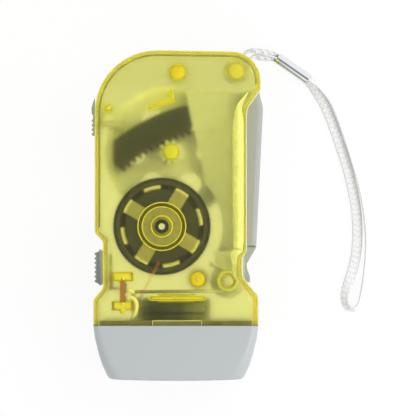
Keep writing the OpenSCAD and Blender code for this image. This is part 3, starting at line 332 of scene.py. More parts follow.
def moulded(name, color, rough, grain=0.012, mottle=0.96, wear=0.06, **sockets):
    """Moulded plastic: fine grain, faint flow mottle and small changes of gloss."""
    n = Nodes(name)
    s = n.shader(color, rough, **sockets)
    flow = n.ranged(n.noise(120, 4), 0, 1)
    n.put(n.mixed_color(flow, darker(color, mottle), color), s.inputs["Base Color"])
    n.put(n.ranged(n.noise(420, 5), rough - wear, rough + wear), s.inputs["Roughness"])
    fine = n.bump(n.noise(9000, 2), grain * MM)
    n.put(n.bump(n.noise(260, 3), 0.02 * MM, 0.5, fine), s.inputs["Normal"])
    return n.done(s.outputs[0])


def faded(name, color, pale, places, axis="X", rough=0.55, metallic=0.0, grain=0.02, clear=0.0):
    """One colour between the two middle places along an axis and another past the outer ones, in millimetres.

    The other part may let a share of the light through, so that a painted sheen fades out at its edge."""
    n = Nodes(name)
    s = n.shader(color, rough, metallic)
    along = n.split(n.where)[axis]
    a, b, c, d = (p * MM for p in places)
    past = n.math("ADD", n.ranged(along, 0, 1, b, a), n.ranged(along, 0, 1, c, d))
    share = n.math("MULTIPLY", past, n.ranged(n.noise(300, 4), 0.8, 1.0))
    n.put(n.mixed_color(share, color, pale), s.inputs["Base Color"])
    n.put(n.bump(n.noise(2500, 3), grain * MM), s.inputs["Normal"])
    if not clear:
        return n.done(s.outputs[0])
    through = n.add("ShaderNodeBsdfTransparent")
    return n.done(n.mix(n.ranged(share, 0, clear, 0.5, 1.0), s.outputs[0], through.outputs[0]))


def plated(name, color, bright, centre, reach, rough=0.45):
    """Plated steel with a painted highlight that brightens it towards its bent ends, which lie at these
    distances from a centre.
    """
    n = Nodes(name)
    s = n.shader(color, rough, 1.0)
    place = n.split(n.where)
    across = n.add("ShaderNodeCombineXYZ")
    for axis, middle in zip("XY", centre):
        n.put(n.math("SUBTRACT", place[axis], middle * MM), across.inputs[axis])
    far = n.add("ShaderNodeVectorMath", operation="LENGTH")
    n.put(across.outputs[0], far.inputs[0])
    marks = n.noise(1400, 4, n.stretched((1, 0.2, 1)), 0.7)
    base = n.mixed_color(n.ranged(marks, 0, 1), darker(color, 0.85), color)
    end = n.ranged(far.outputs["Value"], 0, 1, reach[0] * MM, reach[1] * MM)
    n.put(n.mixed_color(end, base, bright), s.inputs["Base Color"])
    n.put(n.bump(marks, 0.006 * MM), s.inputs["Normal"])
    return n.done(s.outputs[0])


def metal(name, color, rough, brush=(1, 1, 1), tarnish=0.85, scratch=0.004):
    """Metal with brush marks that run along the axis with the smallest number."""
    n = Nodes(name)
    s = n.shader(color, rough, 1.0)
    marks = n.noise(2600, 4, n.stretched(brush), 0.7)
    cloud = n.ranged(n.noise(300, 4), 0, 1)
    n.put(n.mixed_color(cloud, darker(color, tarnish), color), s.inputs["Base Color"])
    n.put(n.ranged(marks, rough * 0.7, rough * 1.4), s.inputs["Roughness"])
    n.put(n.bump(marks, scratch * MM), s.inputs["Normal"])
    return n.done(s.outputs[0])


# The casing's plastic. In the two pairs -1 is the front cover and 1 the rear one
CASE_ROUGH = 0.24
CASE_DENSITY = {-1: 330, 1: 390}
CASE_CLEAR = {-1: (0.99, 0.99, 0.985), 1: (0.96, 0.96, 0.95)}
CASE_TINT = (0.991, 0.988, 0.0)
# The rear cover lets less through towards the far end, between these heights in the picture
TOP_CLEAR = (0.85, 0.85, 0.82)
TOP_FROM, TOP_TO = 22, 42
# Scattered light is pale yellow, and more orange towards the head
HAZE_TONE = (0.98, 0.965, 0.6)
HEAD_END_TONE = (1.0, 0.945, 0.55)
HEAD_END_FROM, HEAD_END_TO = -6, -16
CLEAR_SHARE = 0.14
HAZE_SHARE = 0.01
END_HAZE = 0.85
# Heights of the casing, of its roof's inner face and of the highest matte faces below that
THICK = 30.0
ROOF_IN = 28.4
MATTE_BELOW = 26.0


def tinted_casing(name, side):
    """Frosted translucent yellow that takes out blue on the way through.

    Flat faces inside its roof are matte: the ends of posts and ribs and the rim at the seam. They lie below
    the roof of the front cover (side -1) and above the floor of the rear one (side 1)."""
    n = Nodes(name)
    glass = n.shader(CASE_CLEAR[side], CASE_ROUGH, IOR=1.5, Transmission_Weight=1.0)
    haze = n.shader(HAZE_TONE, 0.5)
    glow = n.add("ShaderNodeBsdfTranslucent")
    through = n.plain("ShaderNodeBsdfTransparent", linear((0.99, 0.99, 0.98)))
    grain = n.bump(n.noise(5200, 2), 0.001 * MM)
    n.put(n.bump(n.noise(200, 3), 0.015 * MM, 0.4, grain), glass.inputs["Normal"])
    place = n.split(n.where)
    if side > 0:
        dim = n.ranged(place["Y"], 0, 1, TOP_FROM * MM, TOP_TO * MM)
        n.put(n.mixed_color(dim, CASE_CLEAR[side], TOP_CLEAR), glass.inputs["Base Color"])
    head_end = n.ranged(place["Y"], 0, 1, HEAD_END_FROM * MM, HEAD_END_TO * MM)
    tone = n.mixed_color(head_end, HAZE_TONE, HEAD_END_TONE)
    n.put(tone, haze.inputs["Base Color"])
    n.put(tone, glow.inputs["Color"])
    scatter = n.mix(0.35, haze.outputs[0], glow.outputs[0])
    seen = n.mix(CLEAR_SHARE, glass.outputs[0], through)
    normal = n.split(n.add("ShaderNodeNewGeometry").outputs["True Normal"])
    facing = n.ranged(n.math("ABSOLUTE", normal["Z"]), 0, 1, 0.8, 0.95)
    level = MATTE_BELOW if side < 0 else THICK - ROOF_IN
    within = n.ranged(place["Z"], 0, 1, (level + side * 0.2) * MM, (level + side * 0.6) * MM)
    haze_share = n.ranged(n.noise(90, 3), HAZE_SHARE * 0.85, HAZE_SHARE * 1.15)
    share = n.math("MULTIPLY_ADD", n.math("MULTIPLY", facing, within), END_HAZE, haze_share)
    seen = n.mix(share, seen, scatter)
    light = n.add("ShaderNodeLightPath")
    surface = n.mix(light.outputs["Is Shadow Ray"], seen, through)
    inside = n.add("ShaderNodeVolumeAbsorption")
    inside.inputs["Color"].default_value = (*CASE_TINT, 1)
    inside.inputs["Density"].default_value = CASE_DENSITY[side]
    return n.done(surface, inside.outputs[0])


def clear_resin(name, color, rough, ior=1.49):
    """Clear plastic that casts hardly any shadow."""
    n = Nodes(name)
    s = n.shader(color, rough, IOR=ior, Transmission_Weight=1.0)
    n.put(n.bump(n.noise(700, 3), 0.003 * MM), s.inputs["Normal"])
    through = n.plain("ShaderNodeBsdfTransparent", linear(darker(color, 0.97)))
    light = n.add("ShaderNodeLightPath")
    return n.done(n.mix(light.outputs["Is Shadow Ray"], s.outputs[0], through))


def fibre(name, color, shade, strand=5200, rough=0.85):
    """Fine polyester fibres: soft sheen, small threads and slight greying between them."""
    n = Nodes(name)
    s = n.shader(color, rough, Sheen_Weight=0.25, Sheen_Roughness=0.4)
    threads = n.noise(strand, 3, n.stretched((1, 1, 0.6)), 0.65)
    n.put(n.mixed_color(n.ranged(threads, 0, 1), shade, color), s.inputs["Base Color"])
    n.put(n.bump(threads, 0.03 * MM), s.inputs["Normal"])
    return n.done(s.outputs[0])


def laminate(name, color):
    """Paper laminate: short fibres and darker flecks."""
    n = Nodes(name)
    s = n.shader(color, 0.45)
    fibres = n.noise(1500, 5, n.stretched((1, 0.25, 1)), 0.7)
    n.put(n.mixed_color(n.ranged(fibres, 0, 1), darker(color, 0.8), color), s.inputs["Base Color"])
    n.put(n.bump(fibres, 0.01 * MM), s.inputs["Normal"])
    return n.done(s.outputs[0])


FRONT_CASING = tinted_casing("front_casing", -1)
REAR_CASING = tinted_casing("rear_casing", 1)
# Painted highlights, glows and shades that sit in the casing's plastic
FILLET_HIGHLIGHT = moulded("painted_fillet_highlight", (1.0, 0.97, 0.45), 0.4, mottle=0.97)
PAINTED_CORE_GLOW = moulded("painted_core_glow", (0.98, 0.93, 0.4), 0.5, mottle=0.95)
PALE_GLOW_YELLOW = moulded("painted_pale_glow", (0.95, 0.9, 0.68), 0.5, mottle=0.95)
DEEP_GLOW_YELLOW = moulded("painted_deep_glow", (0.95, 0.92, 0.5), 0.5, mottle=0.95)
PALE_GLOW_GREY = moulded("painted_grey_glow", (0.86, 0.85, 1.0), 0.5, mottle=0.95)
PAINTED_GLEAM = moulded("wall_painted_gleam", (1.0, 1.0, 0.8), 0.4, mottle=0.97)
OLIVE_SHADE = moulded("olive_shade", (0.83, 0.83, 0.55), 0.5, mottle=0.95)
CREASE_SHADE = moulded("wall_crease_shade", (0.5, 0.46, 0.2), 0.5, mottle=0.9)
BOSS_GLOW = moulded("painted_boss_glow", (1.0, 0.89, 0.3), 0.5, mottle=0.93)
# Grey plastic is painted another tone where the casing covers it: darker on the head, as painted shade, and
# paler on the lever and the slider, as painted light; OUT marks a side that the piece doesn't reach
LOW_OUT, HIGH_OUT = (-90, -80), (90, 100)
GREY = faded(
    "grey_plastic", (0.715, 0.735, 0.735), (0.4, 0.38, 0.26), (*LOW_OUT, -34.6, -34.3), "Y", 0.42,
    grain=0.006)
# A painted sheen, fading to see-through at its edge
PAINTED_SHEEN = faded("wall_painted_sheen", (1.0, 1.0, 0.86), (1.0, 1.0, 0.86), (17.9, 21.0, *HIGH_OUT), "X", 0.4, clear=1.0)
LEVER_GREY = faded(
    "lever_grey", (0.68, 0.69, 0.67), (0.87, 0.88, 0.85), (20.6, 21.6, *HIGH_OUT), "X", 0.45, grain=0.006)
SLIDER = faded("slider_grey", (0.57, 0.6, 0.65), (0.8, 0.79, 0.66), (*LOW_OUT, -23.2, -22.6), "X", 0.5)
BLACK = moulded("black_plastic", (0.12, 0.125, 0.12), 0.4, mottle=0.8)
SECTOR = moulded("sector_plastic", (0.06, 0.08, 0.055), 0.6, mottle=0.7)
NYLON = moulded(
    "natural_nylon", (0.99, 0.99, 0.95), 0.45, mottle=0.98, Subsurface_Weight=0.2, Subsurface_Scale=0.5 * MM)
CLEAR = clear_resin("clear_lens", (0.97, 0.985, 0.99), 0.02)
RESIN = clear_resin("lamp_resin", (0.97, 0.98, 1.0), 0.05, 1.53)
MIRROR = metal("mirror_coat", (0.9, 0.905, 0.91), 0.07, scratch=0.001, tarnish=0.97)
STEEL = metal("bright_steel", (0.8, 0.8, 0.81), 0.22, brush=(1, 1, 0.08))
# The spring is painted paler towards its coil, where it lies deeper: painted light for the frosted roof's
# haze over it
SPRING = faded(
    "lever_spring_steel", (0.62, 0.61, 0.5), (0.97, 0.96, 0.86), (*LOW_OUT, -2, 12), "X", 0.5, 0.6, 0.01)
SHAFT = metal("ground_steel", (0.97, 0.96, 0.74), 0.5, tarnish=0.95)
PIN = metal("pin_steel", (0.93, 0.92, 0.93), 0.5, tarnish=0.9)
CELL = metal("cell_steel", (0.76, 0.76, 0.77), 0.25, brush=(0.15, 1, 1))
# The cells and their cradle are painted pale towards both ends: painted light for the casing's haze that
# veils them there
SLEEVE = faded("cell_sleeve", (0.12, 0.15, 0.12), (0.62, 0.64, 0.5), (-14.0, -8.0, 1.5, 9.0))
CRADLE = faded("cradle_plastic", (0.2, 0.23, 0.18), (0.86, 0.88, 0.7), (-14.5, -8.5, -1.0, 8.0))
CUP = metal("cup_iron", (0.08, 0.1, 0.07), 0.5, brush=(1, 1, 0.2), tarnish=0.7, scratch=0.01)
MAGNET = moulded("magnet_ring", (0.16, 0.155, 0.15), 0.6, grain=0.03, mottle=0.7)
BRONZE = metal("sinter_bronze", (0.09, 0.08, 0.03), 0.6, tarnish=0.7, scratch=0.015)
ROTOR = (-4.3492, -3.7591)
# The stator plates get a painted highlight on their bent ends
ZINC = plated("zinc_plate", (0.78, 0.75, 0.55), (1.0, 0.98, 0.8), ROTOR, (11.6, 12.6))
SCREW = metal("screw_steel", (0.6, 0.6, 0.6), 0.3)
COPPER = metal("enamelled_copper", (0.83, 0.42, 0.19), 0.25, tarnish=0.85)
LEAD = metal("enamelled_lead", (0.95, 0.62, 0.34), 0.4, tarnish=0.9)
CHROME = metal("crimp_chrome", (0.93, 0.935, 0.94), 0.06, scratch=0.0008, tarnish=0.98)
SOLDER = metal("solder", (0.75, 0.75, 0.76), 0.3, tarnish=0.8)
BOARD = laminate("board_laminate", (0.7, 0.44, 0.2))
WHITE_LEAD = moulded("white_insulation", (1.0, 0.99, 0.9), 0.5, mottle=0.99)
CORD_FIBRE = fibre("cord_fibre", (0.99, 0.99, 0.99), (0.82, 0.82, 0.83))
SHADE_GREY_FIBRE = fibre("shade_grey_fibre", (0.86, 0.86, 0.87), (0.6, 0.6, 0.61))
CORE_SHADE_FIBRE = fibre("core_shade_fibre", (0.45, 0.45, 0.46), (0.3, 0.3, 0.31))
BAND_FIBRE = fibre("band_fibre", (0.99, 0.99, 0.99), (0.9, 0.9, 0.91))
VALLEY_SHADE_FIBRE = fibre("valley_shade_fibre", (0.93, 0.93, 0.935), (0.85, 0.85, 0.86))
PHOSPHOR = moulded("lamp_phosphor", (0.95, 0.86, 0.35), 0.6)

# ------------------------------------------------------------------ strap, the cords
# The cord's route is the one of its solid: from the sleeve round the strap post and back
CORD_ROUTE = [
    (32.4, 48.8, 1.9), (31.4, 49.5, 2), (30, 50.1, 2.8), (28.6, 50.2, 4.8), (27.2, 50.4, 7.6),
    (25.6, 50.6, 10.8), (24, 50.8, 13.2), (22.4, 50.5, 14.6), (20.9, 49.5, 15.2), (19.4, 47.9, 15.5),
    (17.4, 47.6, 15.6), (15.8, 46.4, 15.6), (15.1, 44.5, 15.5), (15.6, 42.5, 15.3), (17, 41.2, 15.1),
    (18.9, 40.8, 15), (20.8, 41.6, 14.9), (21.9, 43.1, 14.8), (22.2, 45, 14.7), (22.4, 46.8, 14.6),
    (23.1, 48.1, 14.2), (24.1, 49, 12.8), (25.4, 48.9, 10.2), (26.9, 48.6, 7.2), (28.1, 48.5, 4.4),
    (29.4, 48.4, 2.6), (30.6, 48.2, 1.9), (31.6, 47.6, 1.9),
]
BAND_D = 3.1
BAND_T = 0.8
BAND_ROUTE = [
    (40.1, 41.8, 1.8), (41.2, 41, 1.6), (42.8, 39.4, 1.1), (44.6, 36.8, 0.8), (46.6, 33.4, 0.8),
    (48.8, 28.2, 0.8), (50.8, 22.4, 0.8), (52.6, 17, 0.8), (54.2, 11.2, 0.8), (55.6, 4.8, 0.8),
    (56.4, -1.4, 0.8), (56.5, -7.6, 0.8), (55.9, -13.6, 0.8), (54.5, -19, 0.8), (53, -23.8, 0.8),
    (52.7, -27, 0.8), (53.8, -29.2, 0.8), (55.8, -29.6, 0.8), (57.2, -28, 0.8), (57.8, -24.6, 0.8),
    (58.7, -18.6, 0.8), (59.3, -11.6, 0.8), (59.2, -4.8, 0.8), (58.3, 2.8, 0.8), (56.8, 9.8, 0.8),
    (55, 16, 0.8), (53, 22.4, 0.8), (50.8, 28.8, 0.8), (48.8, 33.6, 0.8), (46.6, 37.4, 0.8),
    (44.4, 40.2, 1.1), (42.6, 41.8, 1.6), (41, 43, 1.8),
]


def braid(route, widths, per_way=4, pitch=5.0, sides=6):
    """Strands that wind both ways round a line, each passing over and under the others in turn.

    widths gives (share of the length, diameter) pairs. The first strands wind one way and the next ones the
    other; the last shape is the core, which shows as painted shade between the strands."""
    line = smooth_route(route, 0.16)
    diameter = np.interp(np.linspace(0, 1, len(line)), *zip(*widths))
    side, up = frames_along(line)
    along = lengths_along(line)
    strand = diameter * 0.17
    shapes = []
    for way in (-1, 1):
        for j in range(per_way):
            turn = way * 2 * np.pi * along / pitch + 2 * np.pi * j / per_way
            wave = np.cos(2 * np.pi * per_way * along / pitch)
            reach = diameter / 2 - strand - 0.05 + way * 0.05 * wave
            middle = line + reach[:, None] * (np.cos(turn)[:, None] * side + np.sin(turn)[:, None] * up)
            shapes.append(tube(middle, strand, sides))
    return [*shapes, tube(line[::4], (diameter / 2 - 1.6 * strand)[::4], 8)]


STITCH_PITCH = 1.66
STITCH_HEIGHT = 0.07


def woven_band(route, width, thick, rolls_at, lift):
    """A flat band with rounded edges and rows of small raised stitches on both faces.

    Beside its shape and its middle line it gives each face's kind: 1 for the valleys between the stitches,
    painted greyer as shade, which show on the half that lies flat."""
    line = smooth_route(route, 0.18)
    share = np.linspace(0, 1, len(line))
    rolls = np.interp(share, *zip(*rolls_at))
    line = line + np.outer(np.interp(share, *zip(*lift)), [0, 0, 1])
    side, up = level_frames(line, rolls)
    across = np.concatenate([np.linspace(-1, 1, 15), [1.0], np.linspace(1, -1, 15), [-1.0]])
    face = np.concatenate([np.ones(15), [0], -np.ones(15), [0]])
    rounding = np.sqrt(np.clip(1 - np.abs(across) ** 6, 0, 1))
    reach = across * width / 2 * np.where(face == 0, 1.03, 1.0 - 0.03 * (1 - rounding))
    rings, rows = [], []
    for i, far in enumerate(lengths_along(line)):
        row = np.sin(2 * np.pi * (far / STITCH_PITCH + 0.5 * np.abs(across) * face))
        stitch = STITCH_HEIGHT * row * np.cos(3.2 * np.pi * across)
        height = face * (thick / 2 * (0.35 + 0.65 * rounding) + stitch * rounding)
        rings.append(line[i] + reach[:, None] * side[i] + height[:, None] * up[i])
        rows.append(row)
    # Stitch valleys on the flat half are painted greyer, as painted shade
    deep = (np.array(rows[:-1]) < -0.6) & (np.abs(across) > 0.12) & (np.abs(across) < 0.8)
    deep[len(deep) // 2 :] = False
    return [swept(rings)], line, [*deep.astype(int).ravel(), 0, 0]


# It is tight round the post and in the sleeve, and fluffs up between them
CORD_WIDTHS = [
    (0, 1.05), (0.06, 1.6), (0.14, 1.95), (0.24, 1.8), (0.32, 1.1), (0.74, 1.1), (0.84, 1.9), (0.94, 1.6),
    (1, 1.05),
]
# Two strands of one way are painted grey and the core dark, as painted shade in the braid
STRAND_KINDS = (0, 0, 0, 0, 1, 1, 0, 0, 2)
strands = braid(CORD_ROUTE, CORD_WIDTHS)
strap_cord = piece(
    "braided_cord", strands, "case", "white_braid", CORD_FIBRE, others=[SHADE_GREY_FIBRE, CORE_SHADE_FIBRE],
    kinds=[kind for (_, faces), kind in zip(strands, STRAND_KINDS) for _ in faces])
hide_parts("strap_cord")
(smooth_route(CORD_ROUTE, 0.8) * MM).tolist()
# The band lies flat on its way down, turns on its edge at the bottom and comes back on edge
BAND_ROLLS = [
    (0, 55), (0.04, 18), (0.1, 0), (0.42, 0), (0.47, 35), (0.5, 70), (0.54, 90), (0.93, 90), (0.97, 70),
    (1, 55),
]
BAND_LIFT = [(0, 0), (0.42, -0.2), (0.47, 0.4), (0.5, 0.8), (0.55, 0.85), (0.93, 0.85), (1, 0)]
band_shapes, band_line, band_kinds = woven_band(BAND_ROUTE, BAND_D, BAND_T, BAND_ROLLS, BAND_LIFT)
strap_band = piece(
    "woven_band", band_shapes, "case", "white_braid", BAND_FIBRE, others=[VALLEY_SHADE_FIBRE], kinds=band_kinds)
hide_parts("strap_webbing")

# ------------------------------------------------------------------ springs, winding and wires
PIVOT = (16.0, -20.6)
DRIVE = (-1.4352, 19.3076)


def coil_points(centre, radius, first, turn, low, high, steps_a_turn=40):
    """Points on a helix; the angles are in degrees, and turn may be negative."""
    count = int(abs(turn) / 360 * steps_a_turn)
    share = np.linspace(0, 1, count + 1)
    a = np.radians(first + turn * share)
    x, y = centre[0] + radius * np.cos(a), centre[1] + radius * np.sin(a)
    return np.stack([x, y, low + (high - low) * share], axis=1)


SPRING_R, SPRING_WIRE, SPRING_LOW, SPRING_HIGH = 3.1, 1.0, 21.76, 25.55
turns = coil_points(PIVOT, SPRING_R, 70.5, -880.5, SPRING_LOW, SPRING_HIGH)
hook = smooth_route(
    [(10.9, -15.5, SPRING_LOW - 5), (10.9, -15.5, SPRING_LOW - 1), (11.15, -15.6, SPRING_LOW - 0.25),
     (11.9, -15.86, SPRING_LOW)], 0.25)
leg = smooth_route([turns[-1], (2.0, -23.85, SPRING_HIGH), (-12.6, -24.0, SPRING_HIGH)], 0.5)
wire = np.vstack([hook, turns[1:-1], leg])
spring = piece("lever_spring", [tube(wire, SPRING_WIRE / 2, 14)], "case", "spring_steel", SPRING)
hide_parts("return_spring")

CLUTCH_R, CLUTCH_WIRE, CLUTCH_LOW, CLUTCH_HIGH = 1.75, 0.4, 18.3, 22.05
clutch_line = coil_points(DRIVE, CLUTCH_R, 0, 4 * 360, CLUTCH_LOW, CLUTCH_HIGH)
clutch = piece("ratchet_spring", [tube(clutch_line, CLUTCH_WIRE / 2, 10)], "pinion", "spring_steel", STEEL)
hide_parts("clutch_spring")

WINDING_IN, WINDING_OUT, WINDING_LOW, WINDING_HIGH = 4.04, 10.3, 17.8, 24.4
# Each layer's turns show as ridges; a ridge has this many points
TURN_PITCH, RIDGE_POINTS = 0.33, 5
ridges = []
for row in range(int((WINDING_HIGH - WINDING_LOW) / TURN_PITCH)):
    for k in range(RIDGE_POINTS):
        share = (k + 0.5) / RIDGE_POINTS
        dip = TURN_PITCH / 2 * (1 - math.sin(math.pi * share))
        ridges.append((WINDING_OUT - dip, WINDING_LOW + TURN_PITCH * (row + share)))
winding_profile = [
    (WINDING_IN, WINDING_HIGH), (WINDING_IN, WINDING_LOW), (WINDING_OUT - 0.2, WINDING_LOW), *ridges,
    (WINDING_OUT - 0.2, WINDING_HIGH),
]
winding = piece("wound_coil", [lathed(winding_profile, ROTOR)], "case", "copper", COPPER)
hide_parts("coil_winding")

LEAD_ROUTE = [
    (-5.5, -14.6, 25.5), (-5.8, -15.4, 25.8), (-6.6, -17, 26.3), (-8.4, -20.2, 26.6), (-10.1, -23.4, 26.7),
    (-10.9, -25.2, 25.2), (-12.4, -26.2, 22.5), (-15.5, -26.4, 22),
]
LEAD_D, LEAD_STEP = 0.15, 0.55
lead_routes = [[(x + shift, y, z) for x, y, z in LEAD_ROUTE] for shift in (0, LEAD_STEP)]
leads = piece(
    "winding_leads", [tube(smooth_route(route, 0.4), LEAD_D / 2, 10) for route in lead_routes],
    "case", "copper", LEAD)
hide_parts("coil_leads")

FRONT_WIRE = [
    (-15.1, -26.1, 26.4), (-14.3, -25.7, 26.8), (-13.2, -26, 26.9), (-12.3, -27.1, 26.9),
    (-12.1, -28.7, 26.8), (-12.5, -30.4, 26.6), (-13.3, -31.9, 26), (-14, -33.0, 24.8),
    (-13.8, -34, 22.4), (-13.2, -35, 20), (-13.2, -36.4, 19),
]
REAR_WIRE = [
    (-15.1, -23.7, 26.2), (-14.2, -23.5, 26.5), (-13.3, -24.1, 25.6), (-13, -25.4, 22.6), (-13, -27.4, 19),
    (-13, -29.4, 17.6), (-13, -31.4, 17.2), (-13, -33.2, 17), (-13, -35, 17), (-13, -36.4, 17),
]
WIRE_D = 1.3
wires = piece(
    "lamp_wires", [tube(smooth_route(route, 0.4), WIRE_D / 2, 14) for route in (FRONT_WIRE, REAR_WIRE)],
    "case", "white_lead", WHITE_LEAD)
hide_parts("led_wires")

BOARD_FACE_X = -15.7
SOLDERED = [(-26.3, 22), (-23.7, 26.2), (-26.1, 26.4), (-22.0, 24.0)]
SOLDER_R, SOLDER_H = 0.75, 0.55
piece(
    "solder_drops", [drop((BOARD_FACE_X, y, z), (1, 0, 0), SOLDER_R, SOLDER_H) for y, z in SOLDERED],
    "case", "screw_steel", SOLDER)

LAMP_X, LAMP_BASE_Y, LAMP_Z = 9.0, -38.2, 15.0
# The dish stands beside the lamp's axis; its rings' distances from the lamp's base, and their radii
DISH_SHIFT = -0.3
DISH = {4.1: 0.7, 4.5: 0.95, 4.9: 1.1}


def lamp_insides(x):
    """A lamp's small reflector dish on one of its two leads, and the other lead beside it."""
    posts = []
    for shift, reach, half in ((-0.7, 4.0, 0.35), (0.75, 4.3, 0.28)):
        line = np.array([(x + shift, LAMP_BASE_Y - 0.3 - t, LAMP_Z) for t in np.linspace(0, reach, 6)])
        posts.append(tube(line, half, 8))
    dish = np.array([(x + DISH_SHIFT, LAMP_BASE_Y - t, LAMP_Z) for t in DISH])
    return [*posts, tube(dish, np.array(list(DISH.values())), 20)]


piece(
    "lamp_lead_frames", [shape for x in (-LAMP_X, LAMP_X) for shape in lamp_insides(x)],
    "case", "bright_steel", STEEL)
piece(
    "lamp_chips",
    [drop((x + DISH_SHIFT, LAMP_BASE_Y - max(DISH), LAMP_Z), (0, -1, 0), 0.85, 0.3)
     for x in (-LAMP_X, LAMP_X)],
    "case", "lamp_resin", PHOSPHOR)

# ------------------------------------------------------------------ painted highlights and shades inside the front cover
# Where a rib or a boss meets the roof, a thin bright bead paints the highlight that its small fillet catches
BEAD_Z = ROOF_IN - 0.1


def circle_line(centre, radius, z=BEAD_Z, steps=72):
    a = 2 * np.pi * np.arange(steps + 1) / steps
    x, y = centre[0] + radius * np.cos(a), centre[1] + radius * np.sin(a)
    return np.stack([x, y, np.full(steps + 1, z)], axis=1)


def round_ended(x0, x1, y, radius, z=BEAD_Z):
    """Closed line round a bar with rounded ends."""
    a = np.radians(np.linspace(-90, 90, 13))
    right = [(x1 + radius * math.cos(t), y + radius * math.sin(t), z) for t in a]
    left = [(x0 - radius * math.cos(t), y - radius * math.sin(t), z) for t in a]
    return np.array([*right, *left, right[0]])


def bead(line, radius):
    return tube(np.array(line, float), radius, 8)


def straight(points, z=BEAD_Z):
    """Points every half millimetre along straight sides."""
    out = []
    for a, b in zip(points, points[1:]):
        shares = np.linspace(0, 1, max(2, int(math.dist(a, b) / 0.5)), endpoint=False)
        out += [(a[0] + (b[0] - a[0]) * t, a[1] + (b[1] - a[1]) * t, z) for t in shares]
    return np.array([*out, (*points[-1], z)])


def painted_in_plastic(name, shapes, material, **more):
    """A piece of painted light or shade that sits in the yellow plastic of the casing."""
    return piece(name, shapes, "case", "case_plastic", material, **more)


# Both ends of the head's latch and its far edge; both ends of the rest bar, its middle and half its width
SEAM_Y = -34.5
LATCH = (-7.2, 8.0, SEAM_Y + 1.6)
LATCH_Z = 29.05
REST_BAR = (-7.6, 8.4, -25.95, 0.7)
# Radius, thickness, both angles and arm of the lever's stop rib, round the pivot
STOP_R, STOP_T, STOP_FROM, STOP_TO, STOP_ARM = 57.9, 1.4, 16.4, 24.7, 3.6


def round_pivot(r, a):
    a = math.radians(90 + a)
    return PIVOT[0] + r * math.cos(a), PIVOT[1] + r * math.sin(a)


stop_arc = [round_pivot(STOP_R, a) for a in np.linspace(STOP_TO, STOP_FROM, 8)]
stop_back = [round_pivot(STOP_R + STOP_T, a) for a in np.linspace(STOP_FROM, STOP_TO, 8)]
stop_arm_side = math.degrees(STOP_T / STOP_R)
stop_outline = [
    *stop_arc, round_pivot(STOP_R + STOP_ARM, STOP_FROM),
    round_pivot(STOP_R + STOP_ARM, STOP_FROM + stop_arm_side), *stop_back, stop_arc[0],
]
latch_outline = [(LATCH[0], SEAM_Y), (LATCH[0], LATCH[2]), (LATCH[1], LATCH[2]), (LATCH[1], SEAM_Y)]
BEARING_HIGHLIGHTS = {7.4: 0.17, 6.08: 0.15, 3.25: 0.2}
painted_in_plastic("rib_fillet_highlights", [
    *[bead(circle_line(ROTOR, r), half) for r, half in BEARING_HIGHLIGHTS.items()],
    bead(round_ended(*REST_BAR), 0.12), bead(straight(latch_outline, LATCH_Z), 0.13),
    bead(straight(stop_outline), 0.14),
], FILLET_HIGHLIGHT)
# Inner face of the front cover's wall, from the head round the far end and back
INNER_WALL = [
    (-23.9, -34.3), (-23.9, -27), (-23.7, -26.7), (-21.7, -24.2), (-21.3, -23.6), (-21.1, -23),
    (-21, -22.3), (-21, -9), (-21.1, -8.2), (-21.4, -7.5), (-22, -6.8), (-23.4, -5.2), (-23.5, -5),
    (-23.5, 31.5), (-23.4, 33.8), (-22.9, 36.1), (-22.1, 38.3), (-21.1, 40.4), (-19.8, 42.3), (-18.2, 44),
    (-16.5, 45.6), (-14.5, 46.8), (-12.4, 47.8), (-10.2, 48.6), (-8, 49), (-5.6, 49.1), (15.9, 48.8),
    (17.3, 48.7), (18.9, 48.5), (20.4, 48), (21.9, 47.1), (23, 45.9), (23.9, 44.5), (24.4, 43),
    (24.6, 41.3), (24.6, 38.9), (21.7, 34.9), (21.1, 34), (20.8, 33.2), (20.5, 32.3), (20.4, 31.4),
    (20.3, 30.5), (20.3, -11), (19.3, -12.5), (19.1, -13.1), (19, -13.7), (19, -18.2), (19.4, -20.2),
    (20.3, -21.5), (23.5, -25.4), (23.9, -26.1), (23.9, -34.3),
]


def along_wall(outwards, z):
    """Line beside the inner face of the wall, that far outwards, in millimetres."""
    line = straight(INNER_WALL, z)
    return line + outwards * outwards_along(line)


def ribbon(line, half_widths, thick):
    """Vertices and faces of a flat strip along a level line, in millimetres."""
    up = np.array([0, 0, thick / 2])
    out = outwards_along(line) * half_widths[:, None]
    return swept([np.array([p + o - up, p + o + up, p - o + up, p - o - up]) for p, o in zip(line, out)])


# Where the wall meets the roof a painted highlight gleams beside the lever
gleam_line = along_wall(1.4, BEAD_Z)
x, y, _ = gleam_line.T
painted_in_plastic("wall_painted_gleam", [bead(gleam_line[(x > 19) & (y > -24.5) & (y < 38.5)], 0.2)], PAINTED_GLEAM)
# Beside that gleam lies a painted sheen, the reflection of the roof's rounded edge, which narrows at its ends
SHEEN_W, SHEEN_Z, SHEEN_OUT = 3.3, 28.6, 0.55
SHEEN_Y = [-20, -8, 28, 38]
sheen_line = along_wall(SHEEN_OUT - SHEEN_W / 2, SHEEN_Z)
x, y, _ = sheen_line.T
sheen_line = sheen_line[(x > 15) & (y > SHEEN_Y[0]) & (y < SHEEN_Y[-1])]
sheen_half = np.interp(sheen_line[:, 1], SHEEN_Y, [0.1, SHEEN_W / 2, SHEEN_W / 2, 0.1])
painted_in_plastic("wall_painted_sheen", [ribbon(sheen_line, sheen_half, 0.2)], PAINTED_SHEEN, smooth=False)
